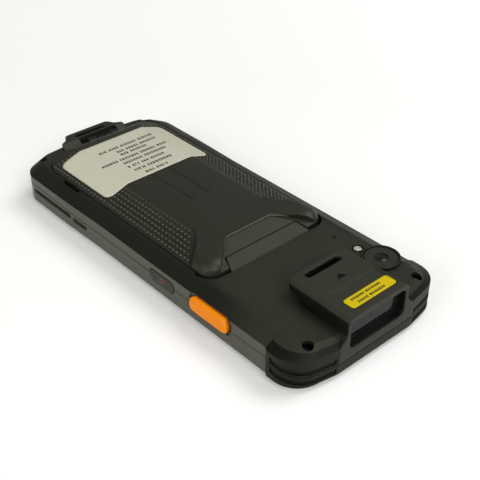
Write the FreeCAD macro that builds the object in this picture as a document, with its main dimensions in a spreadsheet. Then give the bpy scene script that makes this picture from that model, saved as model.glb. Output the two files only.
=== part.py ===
"""Portable barcode data terminal, lying on its screen with its back up.

Millimetres. +Z is up, +Y runs to the scanner head, +X is the side with the power key.
The origin is the centre of the bounding box's bottom.
"""
import FreeCAD
import Part
import math
import os
import re
import Sketcher

V = FreeCAD.Vector
doc = FreeCAD.newDocument("data_terminal")
sheet = doc.addObject("Spreadsheet::Sheet", "Sizes")
names = []


def size(name, value):
    """Write one driving dimension into the sheet and return it."""
    names.append(name)
    sheet.set("A%d" % len(names), name)
    sheet.set("B%d" % len(names), str(value))
    sheet.setAlias("B%d" % len(names), name)
    return value


def tied(name, text):
    """Write a size that follows from others into the sheet as a formula and return its value."""
    names.append(name)
    sheet.set("A%d" % len(names), name)
    sheet.set("B%d" % len(names), "=" + text)
    sheet.setAlias("B%d" % len(names), name)
    doc.recompute()
    return float(sheet.get(name))


# Housing
front_end = size("front_end", 82.5)
loop_end = size("loop_end", 82.5)
far_edge = size("far_edge", 79.4)
body_half = size("body_half", 34.2)
far_swell = size("far_swell", 0.5)
far_half = tied("far_half", "body_half + far_swell")
bumper_proud = size("bumper_proud", 0.8)
bumper_half = tied("bumper_half", "body_half + bumper_proud")
bumper_start = size("bumper_start", 66.6)
corner_radius = size("corner_radius", 10.0)
end_sweep = size("end_sweep", 3.0)
back_height = size("back_height", 15.5)
ridge_height = size("ridge_height", 12.8)
band_width = size("band_width", 5.7)
near_band = size("near_band", 2.4)
far_band = size("far_band", 1.4)
shoulder_rise = size("shoulder_rise", 0.7)
dish_radius = size("dish_radius", 11.7)
parting_height = size("parting_height", 8.4)
parting_far = size("parting_far", 10.0)
parting_front = size("parting_front", 6.0)
seam_gap = size("seam_gap", 0.3)
front_chamfer = size("front_chamfer", 2.2)
chin_length = size("chin_length", 18.0)
chin_rise = size("chin_rise", 3.2)
chin_wall = size("chin_wall", 1.2)
case_wall = size("case_wall", 1.8)
bezel_depth = size("bezel_depth", 2.8)
stripe_depth = size("stripe_depth", 0.5)
stripe_width = size("stripe_width", 2.3)
recess_far = size("recess_far", 69.0)
recess_break = size("recess_break", 43.0)
recess_pause = size("recess_pause", 1.5)
recess_near = size("recess_near", 32.5)
recess_base = size("recess_base", 6.0)
recess_width = size("recess_width", 2.1)
recess_drop = size("recess_drop", 0.6)
recess_depth = size("recess_depth", 1.5)

# Head
head_height = size("head_height", 22.0)
head_half = size("head_half", 13.9)
head_foot_half = size("head_foot_half", 17.6)
head_rear = size("head_rear", 54.2)
head_body_rear = size("head_body_rear", 60.6)
head_plate = size("head_plate", 3.4)
head_floor = tied("head_floor", "head_height - head_plate")
head_wall = size("head_wall", 1.5)
head_edge = size("head_edge", 1.1)
flank_runs = 6
strap_slot_half = size("strap_slot_half", 8.2)
strap_slot_width = size("strap_slot_width", 2.8)
strap_bar = size("strap_bar", 2.1)
window_side = size("window_side", 0.9)
window_width = tied("window_width", "2 * (head_half - window_side)")
window_base = size("window_base", 9.7)
window_crown = size("window_crown", 1.5)
window_height = tied("window_height", "head_height - window_base - window_crown")
window_recess = size("window_recess", 2.4)
window_corner = size("window_corner", 2.2)
glass_thickness = size("glass_thickness", 1.2)

# Strap loop at the far end
loop_height = size("loop_height", 17.3)
loop_base = size("loop_base", 13.0)
loop_root_half = size("loop_root_half", 15.5)
loop_tip_half = size("loop_tip_half", 10.4)
loop_slot_half = size("loop_slot_half", 7.4)
loop_slot_width = size("loop_slot_width", 2.4)
loop_bar = size("loop_bar", 1.8)
loop_depth = size("loop_depth", 6.0)
loop_corner = size("loop_corner", 2.6)

# Battery pack
pack_inset = size("pack_inset", 6.4)
pack_half = tied("pack_half", "body_half - pack_inset")
pack_end = size("pack_end", 8.4)
pack_far = tied("pack_far", "far_edge - pack_end")
pack_near = size("pack_near", 32.2)
pack_floor = size("pack_floor", 10.4)
pack_height = size("pack_height", 19.8)
pack_edge_height = size("pack_edge_height", 15.7)
grip_width = size("grip_width", 12.3)
plateau_half = tied("plateau_half", "pack_half - grip_width")
nose_ridge = size("nose_ridge", 21.2)
nose_ridge_half = size("nose_ridge_half", 10.8)
nose_half = size("nose_half", 17.6)
facet_half = size("facet_half", 26.4)
nose_relief = size("nose_relief", 0.9)
nose_drop = size("nose_drop", 0.3)
nose_corner = size("nose_corner", 5.5)
ramp_height = size("ramp_height", 17.5)
ramp_edge = size("ramp_edge", 27.9)
ramp_foot = size("ramp_foot", 32.7)
ramp_undercut = size("ramp_undercut", 0.8)
lobe_floor = size("lobe_floor", 12.0)
grip_start = size("grip_start", 9.0)
grip_end = size("grip_end", 23.0)
pack_round = size("pack_round", 4.4)
pack_corner = size("pack_corner", 8.0)
pack_gap = size("pack_gap", 0.3)
pack_split = size("pack_split", 14.5)
pack_wall = size("pack_wall", 1.2)
bay_floor = size("bay_floor", 1.2)
hook_radius = size("hook_radius", 0.8)
hook_length = size("hook_length", 6.0)
hook_spacing = size("hook_spacing", 22.0)
hook_reach = size("hook_reach", 1.7)
hook_height = size("hook_height", 13.0)
cell_clearance = size("cell_clearance", 0.3)

# Battery latch
latch_length = size("latch_length", 14.5)
latch_width = size("latch_width", 3.4)
latch_travel = size("latch_travel", 3.4)
latch_left = size("latch_left", -11.0)
latch_rear = size("latch_rear", -77.1)
latch_top = size("latch_top", 16.0)
latch_ribs = 4
tongue_length = size("tongue_length", 4.6)
tongue_reach = size("tongue_reach", 1.6)
tongue_thickness = size("tongue_thickness", 0.9)
tongue_height = size("tongue_height", 14.2)
tongue_inset = size("tongue_inset", 1.6)

# Keys
key_gap = size("key_gap", 0.3)
key_rim = size("key_rim", 0.45)
key_flange = size("key_flange", 0.9)
key_flange_lip = size("key_flange_lip", 0.8)
scan_key_length = size("scan_key_length", 19.0)
scan_key_height = size("scan_key_height", 5.7)
scan_key_middle = size("scan_key_middle", 39.8)
scan_key_base = size("scan_key_base", 6.6)
scan_key_proud = size("scan_key_proud", 1.3)
scan_key_recess = size("scan_key_recess", 0.6)
power_key_length = size("power_key_length", 13.2)
power_key_height = size("power_key_height", 4.4)
power_key_middle = size("power_key_middle", 13.9)
power_key_base = size("power_key_base", 6.1)
power_key_proud = size("power_key_proud", 0.1)
volume_key_length = size("volume_key_length", 10.0)
volume_key_pitch = size("volume_key_pitch", 14.0)
volume_key_middle = size("volume_key_middle", 10.0)
switch_depth = size("switch_depth", 1.4)
flex_thickness = size("flex_thickness", 0.4)

# Camera and flash
camera_inset = size("camera_inset", 9.7)
camera_across = tied("camera_across", "camera_inset - body_half")
camera_along = size("camera_along", 62.1)
camera_ring_radius = size("camera_ring_radius", 6.9)
camera_radius = size("camera_radius", 6.0)
camera_proud = size("camera_proud", 1.0)
flash_offset = size("flash_offset", 1.3)
flash_across = tied("flash_across", "camera_across + flash_offset")
flash_along = size("flash_along", 52.6)
flash_radius = size("flash_radius", 2.0)
lens_gap = size("lens_gap", 0.25)
mic_offset = size("mic_offset", 2.3)
mic_across = tied("mic_across", "camera_across + mic_offset")
mic_along = size("mic_along", 42.2)
mic_radius = size("mic_radius", 0.6)

# Screws
screw_inset = size("screw_inset", 8.2)
screw_across = tied("screw_across", "body_half - screw_inset")
near_screw_end = size("near_screw_end", 5.9)
near_screw = tied("near_screw", "front_end - near_screw_end")
far_screw_end = size("far_screw_end", 4.2)
far_screw = tied("far_screw", "far_edge - far_screw_end")
screw_recess_radius = size("screw_recess_radius", 1.9)
screw_recess_depth = size("screw_recess_depth", 3.6)
screw_head_radius = size("screw_head_radius", 1.6)
screw_head_height = size("screw_head_height", 1.2)
screw_shank_radius = size("screw_shank_radius", 0.75)
boss_radius = size("boss_radius", 2.6)

# Screen side and inner pieces
glass_border = size("glass_border", 2.9)
glass_width = tied("glass_width", "2 * (body_half - glass_border)")
glass_length = size("glass_length", 132.0)
glass_middle = size("glass_middle", 5.0)
glass_recess = size("glass_recess", 0.4)
glass_plate = size("glass_plate", 1.1)
glass_corner = size("glass_corner", 6.0)
glass_gap = size("glass_gap", 0.2)
display_border = size("display_border", 2.8)
display_width = tied("display_width", "glass_width - 2 * display_border")
display_end = size("display_end", 5.0)
display_length = tied("display_length", "glass_length - 2 * display_end")
display_depth = size("display_depth", 1.7)
frame_thickness = size("frame_thickness", 0.8)
frame_gap = size("frame_gap", 0.4)
frame_margin = size("frame_margin", 6.0)
frame_shift = size("frame_shift", 1.5)
board_thickness = size("board_thickness", 1.0)
board_lift = size("board_lift", 0.6)
switch_rest = size("switch_rest", 0.95)
key_seat = size("key_seat", 0.05)
key_nub = size("key_nub", 0.4)
key_face = tied("key_face", "body_half - case_wall - key_flange - key_seat")
strip_face = tied("strip_face", "key_face - key_nub - switch_rest - switch_depth - flex_thickness")
board_gap = size("board_gap", 0.3)
board_width = tied("board_width", "2 * (strip_face - board_gap)")
board_trim = size("board_trim", 6.0)
board_length = tied("board_length", "glass_length - board_trim")
board_shift = size("board_shift", 3.0)
board_middle = tied("board_middle", "glass_middle + board_shift")
post_inset = size("post_inset", 4.0)
post_far = size("post_far", 56.0)
post_near = size("post_near", 46.0)
shield_height = size("shield_height", 1.6)
usb_width = size("usb_width", 9.0)
usb_height = size("usb_height", 3.2)
usb_depth = size("usb_depth", 7.0)
gasket_width = size("gasket_width", 0.8)
head_rear_foot = size("head_rear_foot", 12.4)
head_shoulder = size("head_shoulder", 11.0)
head_cheek = size("head_cheek", 4.8)
head_neck = tied("head_neck", "head_height - head_cheek")
nose_depth = size("nose_depth", 6.0)
roof_wall = size("roof_wall", 2.4)
band_clear = size("band_clear", 1.4)
stripe_margin = size("stripe_margin", 0.8)
screw_gap = size("screw_gap", 0.1)
screw_tip = size("screw_tip", 4.4)
receiver_length = size("receiver_length", 13.0)
receiver_width = size("receiver_width", 3.0)
receiver_depth = size("receiver_depth", 1.6)
receiver_edge = size("receiver_edge", 2.5)
receiver_along = tied("receiver_along", "glass_middle + glass_length / 2 - receiver_edge")
lens_radius = size("lens_radius", 2.4)
lens_spacing = size("lens_spacing", 5.1)
lens_across = tied("lens_across", "receiver_length / 2 + lens_spacing + lens_radius")
contact_across = size("contact_across", 8.0)
contact_along = size("contact_along", 20.0)
contact_length = size("contact_length", 12.0)
contact_width = size("contact_width", 4.0)
engine_side = size("engine_side", 2.9)
engine_half = tied("engine_half", "head_half - engine_side")
engine_lift = size("engine_lift", 1.9)
engine_base = tied("engine_base", "window_base + engine_lift")
engine_gap = size("engine_gap", 0.9)
engine_top = tied("engine_top", "head_height - head_wall - engine_gap")
engine_start = size("engine_start", 3.4)
engine_rear = tied("engine_rear", "head_body_rear + engine_start")
lens_room = size("lens_room", 1.5)
engine_front = tied("engine_front", "front_end - window_recess - glass_thickness - lens_room")
engine_ear = size("engine_ear", 1.2)
engine_lens_radius = size("engine_lens_radius", 2.2)
camera_hole_radius = size("camera_hole_radius", 4.6)
camera_lens_radius = size("camera_lens_radius", 2.8)
barrel_wall = size("barrel_wall", 0.8)
camera_base_width = size("camera_base_width", 9.0)
camera_base_height = size("camera_base_height", 4.0)
camera_base_shift = size("camera_base_shift", 2.0)
can_width = size("can_width", 20.0)
can_length = size("can_length", 26.0)
can_across = size("can_across", 12.0)
can_far = size("can_far", 34.0)
can_shift = size("can_shift", 6.0)
socket_width = size("socket_width", 14.0)
socket_length = size("socket_length", 26.0)
socket_far = size("socket_far", 36.0)
socket_height = size("socket_height", 1.4)
speaker_width = size("speaker_width", 17.0)
speaker_length = size("speaker_length", 9.0)
speaker_height = size("speaker_height", 3.8)
speaker_inset = size("speaker_inset", 16.7)
speaker_across = tied("speaker_across", "body_half - speaker_inset")
motor_radius = size("motor_radius", 2.0)
motor_length = size("motor_length", 9.0)
bottom_room = size("bottom_room", 13.9)
bottom_parts = tied("bottom_parts", "bottom_room - far_edge")
usb_board_length = size("usb_board_length", 19.0)
usb_board_shift = size("usb_board_shift", 2.5)
mic_body_radius = size("mic_body_radius", 1.8)
mic_body_height = size("mic_body_height", 1.0)
board_screw_radius = size("board_screw_radius", 1.5)
board_screw_height = size("board_screw_height", 0.7)

# Marks and small recesses
pry_far = size("pry_far", 55.2)
pry_near = size("pry_near", 44.0)
pry_width = size("pry_width", 1.4)
pry_depth = size("pry_depth", 2.0)
tag_left = size("tag_left", 12.2)
tag_right = size("tag_right", 9.0)
tag_rear = size("tag_rear", 13.0)
tag_front = size("tag_front", 3.0)
tag_depth = size("tag_depth", 0.15)
mark_depth = size("mark_depth", 0.25)
mark_half = size("mark_half", 2.5)
mark_length = size("mark_length", 2.5)
mark_across = size("mark_across", -0.6)
mark_start = size("mark_start", 2.9)
panel_half = size("panel_half", 4.1)
panel_line = size("panel_line", 0.3)
panel_near = size("panel_near", 4.4)
panel_far = size("panel_far", 40.0)


def rounded_wire(points, radii, height, plain=False):
    """Closed wire at one height through corner points, each corner rounded by its radius.

    A plain wire has one straight run across the middle of each corner instead of an arc.
    """
    count = len(points)
    corners = []
    for i in range(count):
        here = V(points[i][0], points[i][1], height)
        before = V(points[i - 1][0], points[i - 1][1], height)
        after = V(points[(i + 1) % count][0], points[(i + 1) % count][1], height)
        back = (before - here).normalize()
        ahead = (after - here).normalize()
        half_turn = back.getAngle(ahead) / 2
        reach = radii[i] / math.tan(half_turn)
        middle_dir = (back + ahead).normalize()
        centre = here + middle_dir * (radii[i] / math.sin(half_turn))
        middle = centre - middle_dir * radii[i]
        corners.append((here + back * reach, middle, here + ahead * reach))
    if plain:
        stops = [stop for corner in corners for stop in corner]
        return Part.makePolygon(stops + stops[:1])
    edges = []
    for i in range(count):
        start, middle, end = corners[i]
        edges.append(Part.Arc(start, middle, end).toShape())
        edges.append(Part.LineSegment(end, corners[(i + 1) % count][0]).toShape())
    return Part.Wire(edges)


def housing_outline(height, side=0.0, near=0.0, far=0.0, corner=None, plain=False):
    """Outline of the housing seen from above, drawn in by side, near and far."""
    if corner is None:
        corner = corner_radius
    half = [
        (loop_root_half, far - far_edge, 4.0),
        (far_half - side, far + end_sweep / 2 - far_edge, corner),
        (far_half - side, -46.0, 40.0),
        (body_half - side, -26.0, 40.0),
        (body_half - side, bumper_start, 0.5),
        (bumper_half - side, bumper_start + 1.2, 0.5),
        (bumper_half - side, front_end - end_sweep - near, corner),
        (head_foot_half, front_end - near, 4.0),
    ]
    points = [(x, y) for x, y, r in half] + [(-x, y) for x, y, r in reversed(half)]
    radii = [r for x, y, r in half] + [r for x, y, r in reversed(half)]
    return rounded_wire(points, radii, height, plain)


def slab(wire, rise):
    """Solid made by raising a closed wire."""
    return Part.Face(wire).extrude(V(0, 0, rise))


def prism_across(profile, half):
    """Solid with a profile of (y, z) points, reaching half to each side."""
    wire = Part.makePolygon([V(-half, y, z) for y, z in profile + profile[:1]])
    return Part.Face(wire).extrude(V(2 * half, 0, 0))


def prism_along(profile, start, end):
    """Solid with a profile of (x, z) points, from start to end along Y."""
    wire = Part.makePolygon([V(x, start, z) for x, z in profile + profile[:1]])
    return Part.Face(wire).extrude(V(0, end - start, 0))


def block(x0, x1, y0, y1, z0, z1):
    """Box between two corners."""
    return Part.makeBox(x1 - x0, y1 - y0, z1 - z0, V(x0, y0, z0))


def rounded_block(x0, x1, y0, y1, z0, z1, radius):
    """Box with its four upright edges rounded."""
    points = [(x0, y0), (x1, y0), (x1, y1), (x0, y1)]
    return slab(rounded_wire(points, [radius] * 4, z0), z1 - z0)


def post(x, y, z0, z1, radius):
    """Upright cylinder."""
    return Part.makeCylinder(radius, z1 - z0, V(x, y, z0))


def screw_places():
    """The four case screws."""
    return [(sx * screw_across, y) for y in (near_screw, -far_screw) for sx in (1, -1)]


def parting_profile(offset, below):
    """Side view of everything under (or over) the seam, moved up by offset."""
    end = front_end + 5
    seam = [(-end, parting_far + offset), (-60, parting_far + offset - 0.4),
            (-36, parting_height + offset), (bumper_start, parting_height + offset),
            (front_end, parting_front + offset), (end, parting_front + offset)]
    reach = -5 if below else head_height + 20
    return seam + [(end, reach), (-end, reach)]


def side_of_seam(offset, below):
    return prism_across(parting_profile(offset, below), bumper_half + 5)


def envelope():
    """Outer form of the housing without its openings: chamfered foot, wall, band and shoulders."""
    foot = Part.makeLoft([
        housing_outline(0, front_chamfer, front_chamfer, front_chamfer, corner_radius - 1).Wires[0],
        housing_outline(front_chamfer).Wires[0]], True, True)
    wall = slab(housing_outline(front_chamfer), ridge_height - front_chamfer)
    top = back_height + shoulder_rise + 0.3
    share = (top - ridge_height) / (back_height - ridge_height)
    band = Part.makeLoft([
        housing_outline(ridge_height),
        housing_outline(top, band_width * share, near_band * share, far_band * share,
                        corner_radius - 2.5)], True, True)
    whole = foot.fuse(wall).fuse(band)
    chin = prism_across([(-front_end - 1, -1), (-front_end - 1, chin_rise),
                         (-far_edge, chin_rise), (chin_length - far_edge, 0),
                         (chin_length - far_edge, -1)], bumper_half + 5)
    whole = whole.cut(chin)
    flat = block(-bumper_half - 5, bumper_half + 5, -front_end - 5, front_end + 5,
                 back_height, head_height + 5)
    for side in (1, -1):
        centre = V(side * head_foot_half, bumper_start - dish_radius + 3.6, back_height)
        rise = shoulder_rise + 0.5
        dish = Part.makeCone(dish_radius, dish_radius + 14.0 * rise / shoulder_rise, rise, centre)
        corner = block(min(0, side * 40), max(0, side * 40), centre.y, front_end + 5,
                       back_height - 1, back_height + rise)
        flat = flat.cut(corner.cut(dish.fuse(post(centre.x, centre.y, back_height - 1,
                                                  back_height, dish_radius))))
    return whole.cut(flat)


def pack_outline(height, grow=0.0):
    """Outline of the battery pack seen from above."""
    half = [(pack_half + grow, -pack_far - grow, pack_corner + grow),
            (pack_half + grow, pack_near + grow, nose_corner + grow)]
    points = [(x, y) for x, y, r in half] + [(-x, y) for x, y, r in reversed(half)]
    radii = [r for x, y, r in half] + [r for x, y, r in reversed(half)]
    return rounded_wire(points, radii, height)


def crown(top):
    """The pack's body with its top edge rounded in steps of one third of a quarter turn."""
    form = slab(pack_outline(pack_floor), top - pack_round - pack_floor)
    levels = []
    for i in range(4):
        turn = math.radians(30 * i)
        levels.append(pack_outline(top - pack_round * (1 - math.sin(turn)),
                                   -pack_round * (1 - math.cos(turn))))
    for low, high in zip(levels[:-1], levels[1:]):
        form = form.fuse(Part.makeLoft([low, high], True, True))
    return form.removeSplitter()


def grip_slope():
    """Space above one sloped grip, ending in a curve that flares out towards the nose."""
    run = pack_half - plateau_half
    drop = pack_height - pack_edge_height
    out = pack_half + 4
    start = V(plateau_half, -pack_far - 4, 0)
    bend = V(plateau_half, grip_start, 0)
    middle = V(plateau_half + run * 0.4, (grip_start + grip_end) / 2 + 0.6, 0)
    end = V(out, grip_end + 2, 0)
    corner = V(out, -pack_far - 4, 0)
    region = Part.Wire([Part.LineSegment(start, bend).toShape(), Part.Arc(bend, middle, end).toShape(),
                        Part.LineSegment(end, corner).toShape(), Part.LineSegment(corner, start).toShape()])
    tool = Part.Face(region).extrude(V(0, 0, pack_height + 5))
    over = prism_along([(plateau_half - 1, pack_height + drop / run),
                        (out, pack_edge_height - drop * (out - pack_half) / run),
                        (out, pack_height + 5), (plateau_half - 1, pack_height + 5)],
                       -pack_far - 5, pack_near + 5)
    return tool.common(over)


def ramp_side(grow, top):
    """Side view (y, z) of the housing's ramp at the nose, grown by a clearance."""
    fall = (ramp_height - back_height) / (ramp_foot - ramp_edge)
    edge = ramp_edge - grow
    rise = ramp_height + grow * fall
    low = rise - ramp_undercut
    return [(edge, rise), (edge, low), (edge - grow * 2, low - grow), (edge - grow * 2, pack_floor - 1),
            (pack_near + 5, pack_floor - 1), (pack_near + 5, top), (edge, top)]


def nose_region(y0, half0, y1, half1, z0, z1):
    """Upright block whose plan is a trapezoid, widening from y0 to y1."""
    wire = Part.makePolygon([V(-half0, y0, z0), V(half0, y0, z0), V(half1, y1, z0), V(-half1, y1, z0),
                             V(-half0, y0, z0)])
    return Part.Face(wire).extrude(V(0, 0, z1 - z0))


def ramp_form(grow):
    """Ramp of the housing that fills the notch in the pack's nose."""
    fall = (ramp_height - back_height) / (ramp_foot - ramp_edge)
    edge = ramp_edge - grow
    base = back_height - roof_wall + 0.4
    side = [(edge, ramp_height + grow * fall), (edge, base),
            (ramp_foot + 1.5, base), (ramp_foot + 1.5, back_height - 1.5 * fall)]
    return prism_across(side, nose_half + 2).common(
        nose_region(edge, nose_half - 1 + grow, ramp_foot + 1.5, nose_half + 1.6 + grow, 0, head_height))


def pack_form():
    """Battery pack: rounded block with sloped grips, a sunk front facet and a notch for the ramp."""
    form = crown(pack_height)
    grip = grip_slope()
    form = form.cut(grip).cut(grip.mirror(V(0, 0, 0), V(1, 0, 0)))
    fall = (pack_height - nose_drop - ramp_height) / (ramp_edge - nose_ridge)
    facet = [(nose_ridge, pack_height - nose_drop), (pack_near + 3, pack_height - nose_drop - fall
                                                     * (pack_near + 3 - nose_ridge)),
             (pack_near + 3, pack_height + 5), (nose_ridge, pack_height + 5)]
    region = nose_region(nose_ridge, nose_ridge_half, pack_near + 3, facet_half, 0, head_height + 5)
    form = form.cut(prism_across(facet, pack_half).common(region))
    notch = nose_region(ramp_edge - pack_gap * 3, nose_half - 1 + pack_gap, ramp_foot + 1.5,
                        nose_half + 1.6 + pack_gap, 0, head_height)
    form = form.cut(prism_across(ramp_side(pack_gap, head_height), pack_half).common(notch))
    lobes = block(-pack_half - 1, pack_half + 1, hinge_y - hook_radius, pack_near + 1, pack_floor - 1, lobe_floor)
    return form.cut(lobes)


def hook_places():
    return [side * hook_spacing / 2 for side in (1, -1)]


hinge_y = ramp_edge - 2 * pack_gap + hook_reach
tongue_x = latch_left + tongue_inset
tongue_z = tongue_height


def latch_pocket():
    """Room for the latch slider and its travel, open to the back and to the pack."""
    room = block(latch_left - pack_gap, latch_left + latch_length + latch_travel + pack_gap,
                 latch_rear - pack_gap, latch_rear + latch_width + pack_gap,
                 tongue_z - 0.3, loop_height + 1)
    mouth = block(tongue_x - 0.5, tongue_x + tongue_length + latch_travel + 0.5,
                  latch_rear, -pack_far + 1, tongue_z - 0.3, back_height + 1)
    return room.fuse(mouth)


def loop_form():
    """Strap loop: a tab with hollow flanks and a slot beside its outer bar."""
    root = far_edge - loop_depth
    half = [(loop_root_half, -root, 0.5), (loop_root_half, -far_edge + 2.0, 2.0),
            (loop_tip_half + 1.8, -loop_end + 3.5, 2.5), (loop_tip_half, -loop_end, loop_corner)]
    points = [(x, y) for x, y, r in half] + [(-x, y) for x, y, r in reversed(half)]
    radii = [r for x, y, r in half] + [r for x, y, r in reversed(half)]
    tab = slab(rounded_wire(points, radii, loop_base), loop_height - loop_base)
    ramp = [(-root + 9, back_height), (-root - 1.2, back_height), (-far_edge + 2.2, loop_height),
            (-far_edge + 2.2, loop_height + 2), (-root + 9, loop_height + 2)]
    return tab.cut(prism_across(ramp, loop_root_half + 2))


def loop_slot():
    middle = -loop_end + loop_bar
    return rounded_block(-loop_slot_half, loop_slot_half, middle, middle + loop_slot_width,
                         loop_base - 5, loop_height + 1, loop_slot_width / 2 - 0.1)


def key_window(middle, length, base, height, side, inner, outer):
    """Opening through a side wall for a key."""
    x0, x1 = sorted((side * inner, side * outer))
    wire_block = block(x0, x1, middle - length / 2, middle + length / 2, base, base + height)
    edges = [e for e in wire_block.Edges if abs(e.tangentAt(e.FirstParameter).x) > 0.99]
    return wire_block.makeFillet(min(height, length) * 0.4, edges)


def key_list():
    """Each side key: name, middle, length, base, height, side, how far it stands out."""
    scan = (scan_key_middle, scan_key_length, scan_key_base, scan_key_height)
    return [
        ("scan_key_left",) + scan + (1, scan_key_proud),
        ("power_key", power_key_middle, power_key_length, power_key_base, power_key_height,
         1, power_key_proud),
        ("volume_up_key", volume_key_middle + volume_key_pitch / 2, volume_key_length,
         power_key_base, power_key_height, -1, power_key_proud),
        ("volume_down_key", volume_key_middle - volume_key_pitch / 2, volume_key_length,
         power_key_base, power_key_height, -1, power_key_proud),
    ]


def key_openings():
    """Windows for every side key, and the shallow recess round each scan key."""
    cuts = []
    for name, middle, length, base, height, side, proud in key_list():
        cuts.append(key_window(middle, length + 2 * key_gap, base - key_gap,
                               height + 2 * key_gap, side, body_half - 6, body_half + 3))
        room = key_flange_lip + 2 * key_gap
        x0, x1 = sorted((side * (body_half - 6), side * (body_half - case_wall)))
        cuts.append(block(x0, x1, middle - length / 2 - room, middle + length / 2 + room,
                          base - room, base + height + key_gap))
        if name.startswith("scan"):
            cuts.append(key_window(middle, length + 2.4, base - 0.9, height + 1.8, side,
                                   body_half - scan_key_recess, body_half + 3))
    return cuts


def stripes(offset):
    """Two shallow panels wrapping each head-end corner, one on each side of the seam."""
    ring = slab(housing_outline(-1), head_height).cut(
        slab(housing_outline(-1, stripe_depth, stripe_depth, stripe_depth), head_height))
    low = side_of_seam(offset, False)
    high = side_of_seam(offset + stripe_width, True)
    band = ring.common(low).common(high)
    zone = block(head_foot_half + 0.8, bumper_half + 5, bumper_start + 2.6, front_end + 5, 0, ridge_height)
    return band.common(zone.fuse(zone.mirror(V(0, 0, 0), V(1, 0, 0))))


def side_recesses():
    """Shallow recesses under the seam at the far end of both long sides."""
    cuts = []
    for y0, y1, z0 in ((-recess_far, -recess_break, recess_base),
                       (recess_pause - recess_break, -recess_near, recess_base - recess_drop)):
        for side in (1, -1):
            cuts.append(key_window((y0 + y1) / 2, y1 - y0, z0, recess_width, side,
                                   far_half - recess_depth, far_half + 3))
    return cuts


def form_of_head():
    """Outer form of the scanner head, lofted from its narrow rear to its wide front."""
    rear = head_section(head_body_rear, head_half, head_rear_foot, back_height - 0.4,
                        back_height + 1.2)
    front = head_section(front_end, head_half + 0.4, head_foot_half, head_shoulder, head_neck)
    form = Part.makeLoft([rear, front], True, True)
    over_back = block(-40, 40, head_body_rear - 1, front_end - nose_depth, back_height, head_height + 1)
    nose = block(-40, 40, front_end - nose_depth, front_end + 1, 0, head_height + 1)
    return form.common(over_back.fuse(nose)).common(side_of_seam(seam_gap, False))


def head_section(y, top_half, foot_half, shoulder, neck):
    """Cross section of the head: straight foot, hollow shoulder, upright neck, bevelled top."""
    right = [V(foot_half, y, 0), V(foot_half, y, shoulder), V(top_half, y, neck),
             V(top_half, y, head_height - head_edge), V(top_half - head_edge, y, head_height)]
    bend = Part.BezierCurve()
    waist = (neck - shoulder) * 0.6
    bend.setPoles([right[1], V(foot_half, y, shoulder + waist), V(top_half, y, neck - waist), right[2]])
    hollow = [bend.value(i / flank_runs) for i in range(1, flank_runs)]
    right = right[:2] + hollow + right[2:]
    left = [V(-p.x, p.y, p.z) for p in reversed(right)]
    return Part.makePolygon(right + left + right[:1])


def window_block(grow, y0, y1):
    """Rounded opening of the scan window between two places along Y."""
    solid = block(-window_width / 2 - grow, window_width / 2 + grow, y0, y1,
                  window_base - grow, window_base + window_height + grow)
    edges = [e for e in solid.Edges if abs(e.tangentAt(e.FirstParameter).y) > 0.99]
    return solid.makeFillet(window_corner, edges)


def usb_block(grow, y0, y1):
    """Socket outline with round ends, between two places along Y."""
    half = usb_height / 2 + grow
    solid = block(-usb_width / 2 - grow, usb_width / 2 + grow, y0, y1, usb_level - half,
                  usb_level + half)
    edges = [e for e in solid.Edges if abs(e.tangentAt(e.FirstParameter).y) > 0.99]
    return solid.makeFillet(half * 0.8, edges)


glass_top = tied("glass_top", "glass_recess + glass_plate")
display_top = tied("display_top", "glass_top + display_depth")
frame_top = tied("frame_top", "display_top + frame_thickness")
board_base = tied("board_base", "frame_top + board_lift")
board_top = tied("board_top", "board_base + board_thickness")
bay_top = pack_floor - pack_gap
cavity_top = back_height - roof_wall
glass_back = front_end - window_recess - glass_thickness
usb_level = frame_top + frame_gap + board_thickness + usb_height / 2
camera_seat = cavity_top + 0.5
recess_floor = back_height - screw_recess_depth


def make_front_case(form):
    case = form.common(side_of_seam(0, True))
    room = slab(housing_outline(bezel_depth, case_wall, case_wall, case_wall, corner_radius - case_wall,
                                True), back_height)
    chin = prism_across([(-front_end, bezel_depth - 1), (-front_end, chin_rise + chin_wall),
                         (-far_edge, chin_rise + chin_wall),
                         (chin_length - far_edge, chin_wall),
                         (chin_length - far_edge, bezel_depth - 1)], bumper_half)
    case = case.cut(room.cut(chin))
    for x, y in screw_places():
        case = case.fuse(post(x, y, bezel_depth, parting_front - seam_gap, boss_radius)
                         .common(form.common(side_of_seam(0, True))))
    half = glass_width / 2 + glass_gap
    length = glass_length / 2 + glass_gap
    tools = [rounded_block(-half, half, glass_middle - length, glass_middle + length, -1, glass_top,
                           glass_corner)]
    half = display_width / 2 + glass_gap
    length = display_length / 2 + glass_gap
    tools.append(block(-half, half, glass_middle - length, glass_middle + length, 0, bezel_depth + 1))
    for x, y in screw_places():
        tools.append(post(x, y, screw_tip - 0.4, back_height, screw_shank_radius + screw_gap))
    tools.append(block(-receiver_length / 2 - glass_gap, receiver_length / 2 + glass_gap,
                       receiver_along - receiver_width / 2 - glass_gap,
                       receiver_along + receiver_width / 2 + glass_gap, 1, bezel_depth + 1))
    tools.append(post(lens_across, receiver_along, 1, bezel_depth + 1, lens_radius + glass_gap))
    tools += key_openings() + side_recesses()
    tools.append(usb_block(0.1, -far_edge - 2, -far_edge + usb_depth))
    tools.append(stripes(-stripe_width - stripe_margin))
    for tool in tools:
        case = case.cut(tool)
    return case


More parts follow.
